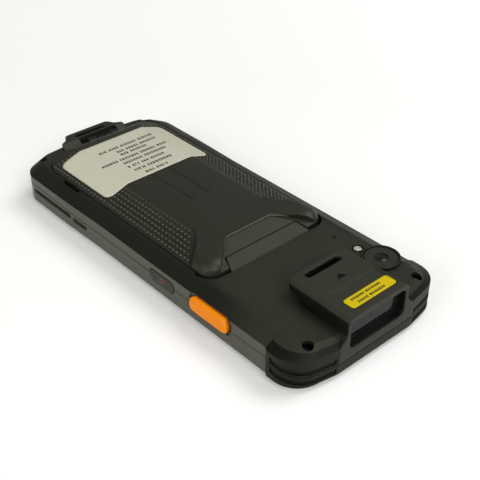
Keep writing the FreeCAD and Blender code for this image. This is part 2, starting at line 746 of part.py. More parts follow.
def make_back_case(form):
    case = form.common(side_of_seam(seam_gap, False)).fuse(loop_form())
    low = slab(housing_outline(0, case_wall, case_wall, case_wall, corner_radius - case_wall, True),
               pack_floor - pack_gap - bay_floor)
    near = slab(housing_outline(0, case_wall + band_clear, case_wall + 1, 0, corner_radius - 4, True),
                cavity_top)
    near = near.common(block(-40, 40, pack_near + 3.5, front_end - nose_depth - 1, 0, head_height))
    tools = [low.common(block(-40, 40, -pack_far, front_end - nose_depth - 1, 0, head_height)), near]
    for tool in tools:
        for x, y in screw_places():
            tool = tool.cut(post(x, y, 0, head_height, boss_radius))
        case = case.cut(tool)
    sill = ramp_form(0).fuse(nose_region(hinge_y - hook_radius - 0.6, nose_half - 1, ramp_foot + 1.5,
                                         nose_half + 1.6, bay_top - 0.5, back_height - roof_wall + 0.5))
    for x in hook_places():
        sill = sill.cut(block(x - hook_length / 2 - pack_gap, x + hook_length / 2 + pack_gap,
                              ramp_edge - 3, hinge_y + hook_radius + pack_gap,
                              hook_height - hook_radius - 1.2, hook_height + hook_radius + 1.6))
    tools = [slab(pack_outline(bay_top, pack_gap), head_height)]
    swing = Part.makeLoft([pack_outline(hook_height, pack_gap),
                           pack_outline(back_height + 0.2, pack_gap + nose_relief)], True, True)
    tools.append(swing.common(block(-40, 40, nose_ridge + 4, pack_near + 5, 0, head_height)))
    tools += [latch_pocket(), loop_slot(), form_of_head()]
    tools.append(block(-engine_half - 0.3, engine_half + 0.3, head_body_rear + 2.9, front_end,
                       0, back_height + 1))
    for x, y in screw_places():
        tools.append(post(x, y, recess_floor, head_height, screw_recess_radius))
        tools.append(post(x, y, 0, head_height, screw_shank_radius + screw_gap))
    tools.append(post(camera_across, camera_along, camera_seat, head_height, camera_ring_radius))
    tools.append(post(camera_across, camera_along, 0, head_height, camera_hole_radius))
    tools.append(post(flash_across, flash_along, back_height - 0.6, head_height,
                      flash_radius + lens_gap))
    tools.append(post(flash_across, flash_along, 0, head_height, flash_radius - 0.5))
    tools.append(post(mic_across, mic_along, 0, head_height, mic_radius))
    x = contact_across
    tools.append(block(x - contact_length / 2 - 0.2, x + contact_length / 2 + 0.2,
                       contact_along - contact_width / 2 - 0.2,
                       contact_along + contact_width / 2 + 0.2, 0, pack_floor))
    tools.append(block(pack_half + 0.4, pack_half + 0.4 + pry_width, -pry_far, -pry_near,
                       back_height - pry_depth, head_height))
    tools += key_openings()
    tools.append(stripes(stripe_margin))
    for tool in tools:
        case = case.cut(tool)
    return case.fuse(sill).removeSplitter()


def make_head_cover():
    cover = form_of_head()
    plate = rounded_block(-head_half, head_half, head_rear, head_body_rear + 6, head_floor,
                          head_height, 3.0)
    bevel = head_height - head_edge
    plate = plate.common(prism_along([(-head_half, head_floor - 1), (-head_half, bevel),
                                      (-head_half + head_edge, head_height),
                                      (head_half - head_edge, head_height), (head_half, bevel),
                                      (head_half, head_floor - 1)], head_rear - 1, front_end))
    cover = cover.fuse(plate)
    slot = head_rear + strap_bar
    tools = [rounded_block(-strap_slot_half, strap_slot_half, slot, slot + strap_slot_width,
                           back_height, head_height + 1, strap_slot_width / 2 - 0.2),
             window_block(0, glass_back, front_end + 2),
             block(-engine_half - 1.4, engine_half + 1.4, head_body_rear + head_wall, glass_back + 0.01,
                   window_base + 0.8, head_height - head_wall)]
    apex = head_body_rear + mark_start
    level = head_height - mark_depth
    corners = [V(mark_across - mark_half, apex + mark_length, level),
               V(mark_across + mark_half, apex + mark_length, level), V(mark_across, apex, level)]
    tools.append(Part.Face(Part.makePolygon(corners + corners[:1])).extrude(V(0, 0, 2)))
    tools.append(block(-tag_left, tag_right, front_end - tag_rear, front_end - tag_front,
                       head_height - tag_depth, head_height + 1))
    tools.append(block(-head_foot_half - 1, -head_foot_half + 3, front_end - 1.2, front_end + 1, 0, 0.5))
    for tool in tools:
        cover = cover.cut(tool)
    return cover


def make_pack():
    """The two halves of the pack and the cell between them."""
    form = pack_form()
    zone = tongue_length + latch_travel
    low = block(tongue_x - 0.5, tongue_x + tongue_length + 0.5, -pack_far - 1,
                -pack_far + tongue_reach + 0.5, pack_floor - 1, tongue_z + tongue_thickness + 0.3)
    high = block(tongue_x - 0.5, tongue_x + zone + 0.5, -pack_far - 1,
                 -pack_far + tongue_reach + 0.5, tongue_z - 0.3, tongue_z + tongue_thickness + 0.3)
    form = form.cut(low).cut(high)
    half = pack_half - pack_wall - 3.5
    cell = (-half, half, -pack_far + 6.0, nose_ridge - 3.0, pack_floor + pack_wall,
            pack_height - 2.2)
    gap = cell_clearance
    room = block(cell[0] - gap, cell[1] + gap, cell[2] - gap, cell[3] + gap, cell[4], cell[5])
    roof = prism_along([(-pack_half, pack_edge_height - 1.6), (-plateau_half, pack_height - 1.4),
                        (plateau_half, pack_height - 1.4), (pack_half, pack_edge_height - 1.6),
                        (pack_half, pack_floor), (-pack_half, pack_floor)], -pack_far, pack_near)
    room = room.common(roof)
    low_half = block(-40, 40, -90, 90, 0, pack_split)
    shell = form.common(low_half).cut(room)
    for x in hook_places():
        hook = Part.makeCylinder(hook_radius, hook_length, V(x - hook_length / 2, hinge_y, hook_height),
                                 V(1, 0, 0))
        neck = block(x - hook_length / 2, x + hook_length / 2, ramp_edge - 3, hinge_y,
                     hook_height - hook_radius, hook_height + hook_radius)
        shell = shell.fuse(hook.fuse(neck).common(low_half))
    cover = form.cut(low_half).cut(room)
    grip = engraved_panel()
    cover = cover.cut(grip)
    roof = roof.translated(V(0, 0, -gap))
    core = block(cell[0], cell[1], cell[2], cell[3], cell[4], cell[5]).common(roof)
    return shell, cover, core


def engraved_panel():
    """Thin engraved frame on the plateau."""
    outer = block(-panel_half, panel_half, -panel_far, -panel_near, pack_height - mark_depth, pack_height + 1)
    half = panel_half - panel_line
    inner = block(-half, half, -panel_far - 1, -panel_near - panel_line, pack_height - 1, pack_height + 2)
    return outer.cut(inner)


def make_latch():
    body = rounded_block(latch_left, latch_left + latch_length, latch_rear, latch_rear + latch_width,
                         tongue_z, latch_top, 0.8)
    tongue = block(tongue_x, tongue_x + tongue_length, latch_rear + 1, -pack_far + tongue_reach,
                   tongue_z, tongue_z + tongue_thickness)
    body = body.fuse(tongue)
    for i in range(latch_ribs + 1):
        x = latch_left + 3.6 + i * 1.5
        body = body.cut(block(x, x + 0.7, latch_rear - 1, latch_rear + latch_width + 1,
                              latch_top - 0.7, latch_top + 1))
    return body


def make_key(middle, length, base, height, side, proud):
    """Side key with a flange behind the wall and a nub that meets its switch."""
    inner = key_face
    cap = key_window(middle, length, base, height, side, inner + 0.2, body_half + proud)
    outer_edges = [e for e in cap.Edges if abs(e.CenterOfMass.x) > body_half + proud - 0.01]
    if proud > key_rim:
        cap = cap.makeChamfer(key_rim, outer_edges)
    x0, x1 = sorted((side * inner, side * (inner + key_flange)))
    flange = block(x0, x1, middle - length / 2 - key_flange_lip, middle + length / 2 + key_flange_lip,
                   base - key_flange_lip, base + height)
    x0, x1 = sorted((side * (inner - key_nub), side * (inner + 0.2)))
    nub = block(x0, x1, middle - 1.2, middle + 1.2, base + 0.2, base + 1.8)
    return cap.fuse(flange).fuse(nub)


def make_switches():
    """Tact switches under the keys and the narrow flex strips that carry them."""
    switches = []
    strips = []
    for side in (1, -1):
        ys = [m for name, m, ln, b, h, s, p in key_list() if s == side]
        x0, x1 = sorted((side * strip_face, side * (strip_face + flex_thickness)))
        strips.append(block(x0, x1, min(ys) - 4, max(ys) + 4, board_base, bay_top - bay_floor - 0.3))
        x0, x1 = sorted((side * (strip_face + flex_thickness),
                         side * (strip_face + flex_thickness + switch_depth)))
        for name, middle, length, base, height, key_side, proud in key_list():
            if key_side == side:
                switches.append(block(x0, x1, middle - 2, middle + 2, board_base, base + 2.2))
    return Part.makeCompound(switches), Part.makeCompound(strips)


def make_gasket():
    """Seal in the seam, just inside the outer wall."""
    inset = case_wall / 2 - gasket_width / 2
    outer = slab(housing_outline(0, inset, inset, inset, corner_radius - inset, True), back_height)
    inset += gasket_width
    inner = slab(housing_outline(0, inset, inset, inset, corner_radius - inset, True), back_height)
    ring = outer.cut(inner).common(side_of_seam(0, False)).common(side_of_seam(seam_gap, True))
    for tool in key_openings():
        ring = ring.cut(tool)
    for x, y in screw_places():
        ring = ring.cut(post(x, y, 0, head_height, screw_shank_radius + screw_gap))
    return ring


def formula(text):
    """Turn size names in a formula into references to the sheet."""
    return re.sub(r"[a-z_]+", lambda m: "Sizes." + m.group(0) if m.group(0) in names else m.group(0), text)


def bind(thing, bindings):
    for prop, text in bindings.items():
        thing.setExpression(prop, formula(text))
    return thing


def bound_box(label, x, y, z, length, width, height):
    """Box whose corner and sizes follow the sheet; x and y are its middle, z its underside."""
    box = doc.addObject("Part::Box", label)
    return bind(box, {
        "Length": length, "Width": width, "Height": height,
        "Placement.Base.x": "%s - (%s) / 2" % (x, length),
        "Placement.Base.y": "%s - (%s) / 2" % (y, width),
        "Placement.Base.z": z})


def bound_cylinder(label, x, y, z, radius, height):
    """Upright cylinder whose place and sizes follow the sheet."""
    cylinder = doc.addObject("Part::Cylinder", label)
    return bind(cylinder, {
        "Radius": radius, "Height": height, "Placement.Base.x": x, "Placement.Base.y": y,
        "Placement.Base.z": z})


def bound_hexagon(label, x, y, z, radius, height):
    """Upright six-sided post whose place and sizes follow the sheet."""
    post_form = doc.addObject("Part::Prism", label)
    post_form.Polygon = 6
    return bind(post_form, {
        "Circumradius": radius, "Height": height, "Placement.Base.x": x, "Placement.Base.y": y,
        "Placement.Base.z": z})


def fused(label, shapes):
    whole = doc.addObject("Part::MultiFuse", label)
    whole.Shapes = shapes
    return whole


def cut(label, base, tool):
    thing = doc.addObject("Part::Cut", label)
    thing.Base = base
    thing.Tool = tool
    return thing


def upright_edges(shape):
    """Names of the edges that run along Z."""
    found = []
    for i, edge in enumerate(shape.Edges):
        if abs(edge.tangentAt(edge.FirstParameter).z) > 0.99:
            found.append("Edge%d" % (i + 1))
    return found


def plate(label, middle, base, width, length, thickness, corner=None):
    """Flat plate with rounded corners, drawn as a sketch and padded."""
    body = doc.addObject("PartDesign::Body", label)
    sketch = body.newObject("Sketcher::SketchObject", label + "_sketch")
    plane = [o for o in body.Origin.OriginFeatures if o.Role == "XY_Plane"][0]
    sketch.AttachmentSupport = [(plane, "")]
    sketch.MapMode = "FlatFace"
    points = [V(-10, -20, 0), V(10, -20, 0), V(10, 20, 0), V(-10, 20, 0)]
    for i in range(4):
        sketch.addGeometry(Part.LineSegment(points[i], points[(i + 1) % 4]), False)
    for i in range(4):
        sketch.addConstraint(Sketcher.Constraint("Coincident", i, 2, (i + 1) % 4, 1))
    for i in (0, 2):
        sketch.addConstraint(Sketcher.Constraint("Horizontal", i))
        sketch.addConstraint(Sketcher.Constraint("Vertical", i + 1))
    sketch.addConstraint(Sketcher.Constraint("Symmetric", 0, 1, 2, 1, -1, 1))
    across = sketch.addConstraint(Sketcher.Constraint("DistanceX", 0, 1, 0, 2, 20))
    along = sketch.addConstraint(Sketcher.Constraint("DistanceY", 1, 1, 1, 2, 40))
    sketch.renameConstraint(across, "across")
    sketch.renameConstraint(along, "along")
    bind(sketch, {"Constraints.across": width, "Constraints.along": length})
    pad = body.newObject("PartDesign::Pad", label + "_pad")
    pad.Profile = sketch
    bind(pad, {"Length": thickness})
    doc.recompute()
    if corner:
        fillet = body.newObject("PartDesign::Fillet", label + "_corners")
        fillet.Base = (pad, upright_edges(pad.Shape))
        bind(fillet, {"Radius": corner})
    bind(body, {"Placement.Base.y": middle, "Placement.Base.z": base})
    return body


pieces = []


def keep(label, thing):
    """Name a finished sub-part."""
    thing.Label = label
    pieces.append(thing)
    return thing


def keep_shape(label, shape):
    """Put a shape made by Part's own functions into the document."""
    thing = doc.addObject("Part::Feature", label)
    thing.Shape = shape
    thing.Placement = FreeCAD.Placement()
    return keep(label, thing)


# Housing, head, pack, latch and keys
form = envelope()
keep_shape("front_case", make_front_case(form))
keep_shape("back_case", make_back_case(form))
keep_shape("case_gasket", make_gasket())
keep_shape("scan_head_cover", make_head_cover())
keep_shape("scan_window", window_block(-0.05, glass_back, glass_back + glass_thickness))
shell, cover, core = make_pack()
keep_shape("battery_shell", shell)
keep_shape("battery_cover", cover)
keep_shape("battery_cell", core)
keep_shape("battery_latch", make_latch())
for key in key_list():
    keep_shape(key[0], make_key(*key[1:]))
switches, strips = make_switches()
keep_shape("key_switches", switches)
keep_shape("key_flex", strips)

# Scan engine, held by its ears on the edge of the opening in the back case
core_box = bound_box("engine_core", "0", "(engine_rear + engine_front) / 2", "engine_base",
                     "2 * engine_half", "engine_front - engine_rear", "engine_top - engine_base")
ears = bound_box("engine_ears", "0", "(engine_rear + engine_front) / 2 - 1", "back_height",
                 "2 * (engine_half + engine_ear)", "8", "1")
keep("scan_engine", fused("scan_engine", [core_box, ears]))
lenses = []
for side in (1, -1):
    lens = doc.addObject("Part::Cylinder", "engine_lens")
    bind(lens, {"Radius": "engine_lens_radius", "Height": "0.9",
                "Placement.Base.x": "%d * engine_half * 0.5" % side,
                "Placement.Base.y": "engine_front", "Placement.Base.z": "(engine_base + engine_top) / 2 + 1"})
    lens.Placement.Rotation = FreeCAD.Rotation(V(1, 0, 0), -90)
    lenses.append(lens)
keep("scan_lenses", fused("scan_lenses", lenses))

# Screen side
keep("display_glass", plate("display_glass", "glass_middle", "glass_recess", "glass_width",
                            "glass_length", "glass_plate", "glass_corner"))
keep("display_module", plate("display_module", "glass_middle", "glass_top", "display_width",
                             "display_length", "display_depth", "1"))
frame = plate("midframe_plate", "glass_middle - frame_shift", "display_top",
              "2 * (body_half - case_wall - frame_gap)", "glass_length + 2 * frame_margin",
              "frame_thickness", "corner_radius - 3")
holes = [bound_hexagon("boss_hole", "%d * screw_across" % sx, text, "0",
                       "(boss_radius + frame_gap) * 1.2", "frame_top + board_lift")
         for text in ("near_screw", "-far_screw") for sx in (1, -1)]
board_rows = ("board_middle - post_far", "board_middle", "board_middle + post_near")
posts = [bound_hexagon("board_post", "%d * (board_width / 2 - post_inset)" % sx, row,
                       "frame_top - 0.1", "board_screw_radius + 0.5", "board_lift + 0.1")
         for row in board_rows for sx in (1, -1)]
keep("midframe", cut("midframe", fused("midframe_with_posts", [frame] + posts),
                     fused("midframe_holes", holes)))
board = plate("board_plate", "board_middle", "board_base", "board_width", "board_length",
              "board_thickness", "3")
keep("mainboard", board)
can_places = (("-can_across", "-can_far"), ("-can_across", "0"), ("can_across", "-can_shift"))
cans = [bound_box("can", x, y, "board_top", "can_width", "can_length", "shield_height")
        for x, y in can_places]
keep("shield_cans", fused("shield_cans", cans))
keep("card_socket", bound_box("card_socket", "can_across", "-socket_far", "board_top", "socket_width",
                              "socket_length", "socket_height"))
keep("battery_contacts", bound_box("battery_contacts", "contact_across", "contact_along", "board_top",
                                   "contact_length", "contact_width",
                                   "pack_floor - 0.1 - board_top"))
screws = [bound_hexagon("board_screw", "%d * (board_width / 2 - post_inset)" % sx, row,
                        "board_top", "board_screw_radius", "board_screw_height")
          for row in board_rows for sx in (1, -1)]
keep("board_screws", fused("board_screws", screws))
keep("receiver", bound_box("receiver", "0", "receiver_along", "glass_top", "receiver_length",
                           "receiver_width", "receiver_depth"))
keep("front_camera", bound_cylinder("front_camera", "lens_across", "receiver_along", "glass_top",
                                    "lens_radius", "receiver_depth"))
keep("speaker", bound_box("speaker", "speaker_across", "bottom_parts", "frame_top", "speaker_width",
                          "speaker_length", "speaker_height"))
motor = doc.addObject("Part::Cylinder", "vibration_motor")
bind(motor, {"Radius": "motor_radius", "Height": "motor_length",
             "Placement.Base.x": "-speaker_across - motor_length / 2",
             "Placement.Base.y": "bottom_parts", "Placement.Base.z": "frame_top + motor_radius"})
motor.Placement.Rotation = FreeCAD.Rotation(V(0, 1, 0), 90)
keep("vibration_motor", motor)
keep("usb_board", bound_box("usb_board", "0", "bottom_parts - usb_board_shift", "frame_top + frame_gap",
                            "2 * usb_width", "usb_board_length", "board_thickness"))
shell_block = usb_block(0, -far_edge + 0.6, -far_edge + usb_depth)
mouth = usb_block(-0.4, -far_edge - 1, -far_edge + usb_depth - 1)
keep_shape("usb_socket", shell_block.cut(mouth))

# Camera, flash and microphone
seat = camera_seat
ring = post(camera_across, camera_along, seat, back_height + camera_proud, camera_ring_radius)
ring = ring.cut(post(camera_across, camera_along, back_height + 0.1, 30, camera_radius + lens_gap))
ring = ring.cut(post(camera_across, camera_along, 0, 30, camera_radius - 0.8))
keep_shape("camera_ring", ring)
keep("camera_window", bound_cylinder("camera_window", "camera_across", "camera_along",
                                     "back_height + 0.1", "camera_radius", "camera_proud - 0.3"))
camera_base = bound_box("camera_base", "camera_across + camera_base_shift", "camera_along", "board_top",
                        "camera_base_width", "camera_base_width", "camera_base_height")
barrel = bound_cylinder("camera_barrel", "camera_across", "camera_along", "board_top + 1",
                        "camera_lens_radius + barrel_wall", "back_height - 0.2 - board_top - 1")
keep("camera_module", fused("camera_module", [camera_base, barrel]))
keep("flash_lens", bound_cylinder("flash_lens", "flash_across", "flash_along", "back_height - 0.6",
                                  "flash_radius", "0.7"))
keep("flash_led", bound_cylinder("flash_led", "flash_across", "flash_along", "back_height - 2.4",
                                 "flash_radius - 0.7", "1.5"))
keep("microphone", bound_cylinder("microphone", "mic_across", "mic_along",
                                  "back_height - roof_wall - mic_body_height", "mic_body_radius",
                                  "mic_body_height"))

# Case screws
screws = []
for sx in (1, -1):
    for text in ("near_screw", "-far_screw"):
        x = "%d * screw_across" % sx
        screw_head = bound_cylinder("screw_head", x, text, "back_height - screw_recess_depth",
                                    "screw_head_radius", "screw_head_height")
        shank = bound_cylinder("screw_shank", x, text, "screw_tip", "screw_shank_radius",
                               "back_height - screw_recess_depth - screw_tip")
        screws += [screw_head, shank]
keep("case_screws", fused("case_screws", screws))

doc.recompute()
for thing in doc.Objects:
    for state in thing.State:
        if state in ("Invalid", "Error"):
            raise RuntimeError("%s is %s" % (thing.Label, state))
for thing in pieces:
    if thing.Shape.isNull() or not thing.Shape.isValid():
        raise RuntimeError("%s has no valid shape" % thing.Label)
os.makedirs("parts", exist_ok=True)
for thing in pieces:
    thing.Shape.exportStep("parts/%s.step" % thing.Label)
    box = thing.Shape.BoundBox
    print("%-18s solids %2d  volume %9.1f  x %6.1f %6.1f  y %6.1f %6.1f  z %5.1f %5.1f" % (
        thing.Label, len(thing.Shape.Solids), thing.Shape.Volume, box.XMin, box.XMax,
        box.YMin, box.YMax, box.ZMin, box.ZMax))
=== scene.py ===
# %% [markdown]
# # Portable barcode data terminal
# The CAD model gives every size and joint. This script dresses it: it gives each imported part
# a finish, adds the small pieces that moulds and printers leave on the real object, and sets
# up the table, the lights and the camera. All lengths are in metres, in the CAD model's frame:
# the terminal lies on its screen, +Y runs to the scanner head and +X is the power key's side.

import math
import random

import bmesh
import bpy
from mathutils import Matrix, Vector
from mathutils.bvhtree import BVHTree


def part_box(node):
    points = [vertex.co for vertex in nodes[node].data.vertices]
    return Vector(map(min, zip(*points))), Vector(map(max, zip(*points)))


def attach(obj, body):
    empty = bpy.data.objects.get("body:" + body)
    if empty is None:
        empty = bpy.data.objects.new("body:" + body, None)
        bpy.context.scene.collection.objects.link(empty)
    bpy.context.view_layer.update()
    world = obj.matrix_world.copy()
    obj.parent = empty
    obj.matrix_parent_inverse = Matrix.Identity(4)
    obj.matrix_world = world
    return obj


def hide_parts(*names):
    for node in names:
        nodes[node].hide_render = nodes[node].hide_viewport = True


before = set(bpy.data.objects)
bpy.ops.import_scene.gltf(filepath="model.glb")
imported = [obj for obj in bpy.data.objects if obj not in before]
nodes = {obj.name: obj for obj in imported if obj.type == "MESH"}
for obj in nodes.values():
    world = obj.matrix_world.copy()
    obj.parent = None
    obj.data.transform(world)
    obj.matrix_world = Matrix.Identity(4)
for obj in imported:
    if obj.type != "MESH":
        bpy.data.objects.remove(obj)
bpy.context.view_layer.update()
MM = 0.001


# %% [markdown]
# ## Places on the object
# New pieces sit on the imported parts, so their places are read from those parts. A box gives the
# middle and the faces of a part, and a search tree gives the surface under any point, which is
# how a label or a moulded pattern can follow a curved back.

# %% Read places from the frame
def middle(name):
    """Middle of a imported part's box."""
    low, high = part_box(name)
    return (low + high) / 2


def surface_of(*names):
    """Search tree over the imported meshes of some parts."""
    points, faces = [], []
    for name in names:
        mesh = nodes[name].data
        start = len(points)
        points += [v.co.copy() for v in mesh.vertices]
        faces += [[start + i for i in p.vertices] for p in mesh.polygons]
    return BVHTree.FromPolygons(points, faces)


def look(tree, start, direction):
    """Point and outward direction where a line of sight meets a surface, or None."""
    hit, normal, _, _ = tree.ray_cast(Vector(start), Vector(direction))
    if hit is None:
        return None
    if normal.dot(Vector(direction)) > 0:
        normal = -normal
    return hit, normal


pack_surface = surface_of("battery_cover")
PROBE = 0.05


def under(tree, x, y):
    """Point and outward direction where a surface lies straight below a point in the air."""
    return look(tree, (x, y, PROBE), (0, 0, -1))


pack_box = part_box("battery_cover")
print("pack in mm", [[round(v / MM, 1) for v in corner] for corner in pack_box])


# %% [markdown]
# ## Helpers for finishes
# Every finish is a Principled shader with textures in object space, so grain has its real size
# on every part. A small tool adds a node and fills its sockets, which keeps each recipe short.

# %% Node helpers
def fill(tree, socket, value):
    """Link a socket to another one, or give it a plain value."""
    if isinstance(value, bpy.types.NodeSocket):
        tree.links.new(value, socket)
    else:
        socket.default_value = value


def add(tree, kind, **sockets):
    """Add one shader node and fill the sockets that are named."""
    node = tree.nodes.new(kind)
    for name, value in sockets.items():
        fill(tree, node.inputs[name.replace("_", " ")], value)
    return node


def math_node(tree, operation, first, second=0.0):
    """Result of a sum, a product or a comparison."""
    node = tree.nodes.new("ShaderNodeMath")
    node.operation = operation
    for socket, value in zip(node.inputs, (first, second)):
        fill(tree, socket, value)
    return node.outputs[0]


def both(tree, first, second):
    """Share of the overlap of two zones."""
    return math_node(tree, "MULTIPLY", first, second)


def rest_of(tree, share):
    """Share of everything outside a zone."""
    return math_node(tree, "SUBTRACT", 1.0, share)


def blend_colours(tree, share, dark, light):
    """Colour between two others, by a share from 0 to 1."""
    node = tree.nodes.new("ShaderNodeMix")
    node.data_type = "RGBA"
    tree.links.new(share, node.inputs[0])
    for socket, value in ((node.inputs[6], dark), (node.inputs[7], light)):
        fill(tree, socket, value if isinstance(value, bpy.types.NodeSocket) else (*value, 1))
    return node.outputs[2]


def spread(tree, value, low, high):
    """Turn 0..1 into low..high."""
    return add(tree, "ShaderNodeMapRange", Value=value, To_Min=low, To_Max=high).outputs[0]


def fade(tree, value, start, end):
    """0 at start, 1 at end, with a soft passage between."""
    ramp = add(tree, "ShaderNodeMapRange", Value=value, From_Min=start, From_Max=end)
    ramp.interpolation_type = "SMOOTHSTEP"
    return ramp.outputs[0]


def place_of(tree):
    """Place of the shaded point in the object's own frame."""
    return tree.nodes.new("ShaderNodeTexCoord").outputs["Object"]


def noise(tree, scale, detail=2.0, stretch=None):
    """Noise in object space; scale is features per metre."""
    place = place_of(tree)
    if stretch:
        place = add(tree, "ShaderNodeMapping", Vector=place, Scale=stretch).outputs[0]
    return add(tree, "ShaderNodeTexNoise", Vector=place, Scale=scale, Detail=detail).outputs[0]


def start_material(name, **fixed):
    """New material, with plain values on the shader's own sockets."""
    material = bpy.data.materials.new(name)
    material.use_nodes = True
    tree = material.node_tree
    shader = tree.nodes["Principled BSDF"]
    for key, value in fixed.items():
        shader.inputs[key.replace("_", " ")].default_value = value
    return material, tree, shader


def raise_surface(tree, shader, height, depth, **sockets):
    """Bump the surface by a height pattern of a given depth."""
    bump = add(tree, "ShaderNodeBump", Height=height, Distance=depth, **sockets)
    tree.links.new(bump.outputs[0], shader.inputs["Normal"])


# %% [markdown]
# ## Moulded plastic
# A moulded housing isn't one flat black. The tool's spark texture gives fine grain, the flow of
# the plastic makes the gloss drift a little and edges that hands touch turn paler. Hollows and
# crevices get painted shade: the colour darkens there by ambient occlusion. Rounding the normals
# at edges gives the thin highlight that a real mould radius has, with no more faces.

# %% Plastic recipe
SHEEN_TINT = (1.0, 1.0, 0.82, 1)
GRAIN_PITCH = 0.35 * MM
PAINTED_SHADE_REACH = 4 * MM
PAINTED_SHADE_SHARE = 0.1


def plastic(name, colour, roughness, grain=0.00002, edge=0.00025, wear=0.5, gloss_level=0.3):
    """Grained plastic: colour, gloss, grain depth, edge radius, edge wear, strength of the sheen; painted
    shade darkens its hollows.
    """
    material, tree, shader = start_material(name, Roughness=roughness, Specular_IOR_Level=gloss_level,
                                            Specular_Tint=SHEEN_TINT)
    drift = noise(tree, 45, 4)
    fine = noise(tree, 1 / GRAIN_PITCH)
    eased = add(tree, "ShaderNodeBevel", Radius=edge)
    eased.samples = 4
    turn = tree.nodes.new("ShaderNodeVectorMath")
    turn.operation = "DOT_PRODUCT"
    tree.links.new(eased.outputs[0], turn.inputs[0])
    tree.links.new(tree.nodes.new("ShaderNodeNewGeometry").outputs["Normal"], turn.inputs[1])
    edges = both(tree, rest_of(tree, turn.outputs["Value"]), wear * 2)
    # Painted shade: the colour darkens towards a near-black in hollows and crevices, by ambient occlusion.
    painted_hollow_shade = add(tree, "ShaderNodeAmbientOcclusion", Distance=PAINTED_SHADE_REACH)
    painted_hollow_shade.samples = 6
    dark, light, shade = [[c * share for c in colour] for share in (0.88, 1.12, PAINTED_SHADE_SHARE)]
    worn = [min(1, c * 1.8 + 0.012) for c in colour]
    body = blend_colours(tree, drift, dark, light)
    body = blend_colours(tree, painted_hollow_shade.outputs["AO"], shade, body)
    tree.links.new(blend_colours(tree, edges, body, worn), shader.inputs["Base Color"])
    tree.links.new(spread(tree, drift, roughness - 0.06, roughness + 0.06), shader.inputs["Roughness"])
    raise_surface(tree, shader, fine, grain, Normal=eased.outputs[0])
    return material


CASE_BLACK = (0.0185, 0.0195, 0.0135)
PACK_BLACK = (0.0150, 0.0160, 0.0105)
# Painted sheen: the side wall's paler grey.
WALL_PAINTED_SHEEN = (0.060, 0.061, 0.046)
BUMPER_BLACK = (0.0010, 0.0012, 0.0008)
# Painted shade: the near-black of the head's flanks.
FLANK_PAINTED_SHADE = (0.0020, 0.0022, 0.0016)
finish = {
    "case": plastic("case_plastic", CASE_BLACK, 0.46, grain=0.000025, edge=0.0009, wear=0.3),
    "pack": plastic("pack_plastic", PACK_BLACK, 0.44, grain=0.00003, edge=0.0005, wear=0.3),
    # Painted highlight: the studs and the nose bead are a paler copy of the pack plastic; their higher
    # gloss is real.
    "studs": plastic("stud_plastic_painted_highlight", (0.024, 0.025, 0.018), 0.36, grain=0.00001, edge=0.0002,
                     gloss_level=0.45),
    "latch": plastic("latch_plastic", (0.016, 0.016, 0.017), 0.36, grain=0.00001),
    "key_black": plastic("key_black", (0.0150, 0.0155, 0.0120), 0.45, grain=0.00002),
    "ring": plastic("ring_plastic", (0.010, 0.010, 0.008), 0.36, grain=0.000006),
    "collar": plastic("collar_black", (0.003, 0.003, 0.003), 0.5, grain=0.000006, gloss_level=0.1),
    "module": plastic("module_black", (0.015, 0.015, 0.016), 0.55),
    "contact": plastic("contact_plastic", (0.02, 0.02, 0.022), 0.5),
    "gasket": plastic("gasket_rubber", (0.012, 0.012, 0.012), 0.7, grain=0.00004),
}
print("plastics", sorted(finish))


# %% [markdown]
# ## Zones on the housing and the head
# The housing's side wall is polished to a satin, while the band above it and the flat back keep
# the matte spark texture. The wall also gets a paler grey, a painted sheen. The band beside the
# pack gets painted shade, the corner bumpers are darker, and the shoulders by the head get a
# painted highlight. The head's flanks get painted shade, darker than its top. Height and place
# on the object decide the zone.

# %% Zoned plastics
RIDGE_HEIGHT = 12.8 * MM
BUMPER_START = 66.6 * MM
BUMPER_TOP = 14.4 * MM
BAND_ACROSS = (24.5 * MM, 30.5 * MM)
BAND_ALONG = (64.0 * MM, 36.0 * MM)
# Painted shade: the near-black of the band beside the pack.
BAND_PAINTED_SHADE = (0.0062, 0.0066, 0.0046)
SHOULDER_START = 62.0 * MM
SHOULDER_FOOT = 16.2 * MM
# Painted highlight: the paler grey of the shoulders by the head.
SHOULDER_PAINTED_HIGHLIGHT = (0.0330, 0.0325, 0.0250)
HEAD_RIM = 0.9 * MM


def paint_zones(material, zones):
    """Lay colours over the material's own, each on the share that its zone gives."""
    tree = material.node_tree
    shader = tree.nodes["Principled BSDF"]
    body = shader.inputs["Base Color"].links[0].from_socket
    for share, colour in zones:
        body = blend_colours(tree, share, body, colour)
    tree.links.new(body, shader.inputs["Base Color"])


def axes(tree):
    """The three coordinates of the shaded point."""
    return add(tree, "ShaderNodeSeparateXYZ", Vector=place_of(tree)).outputs


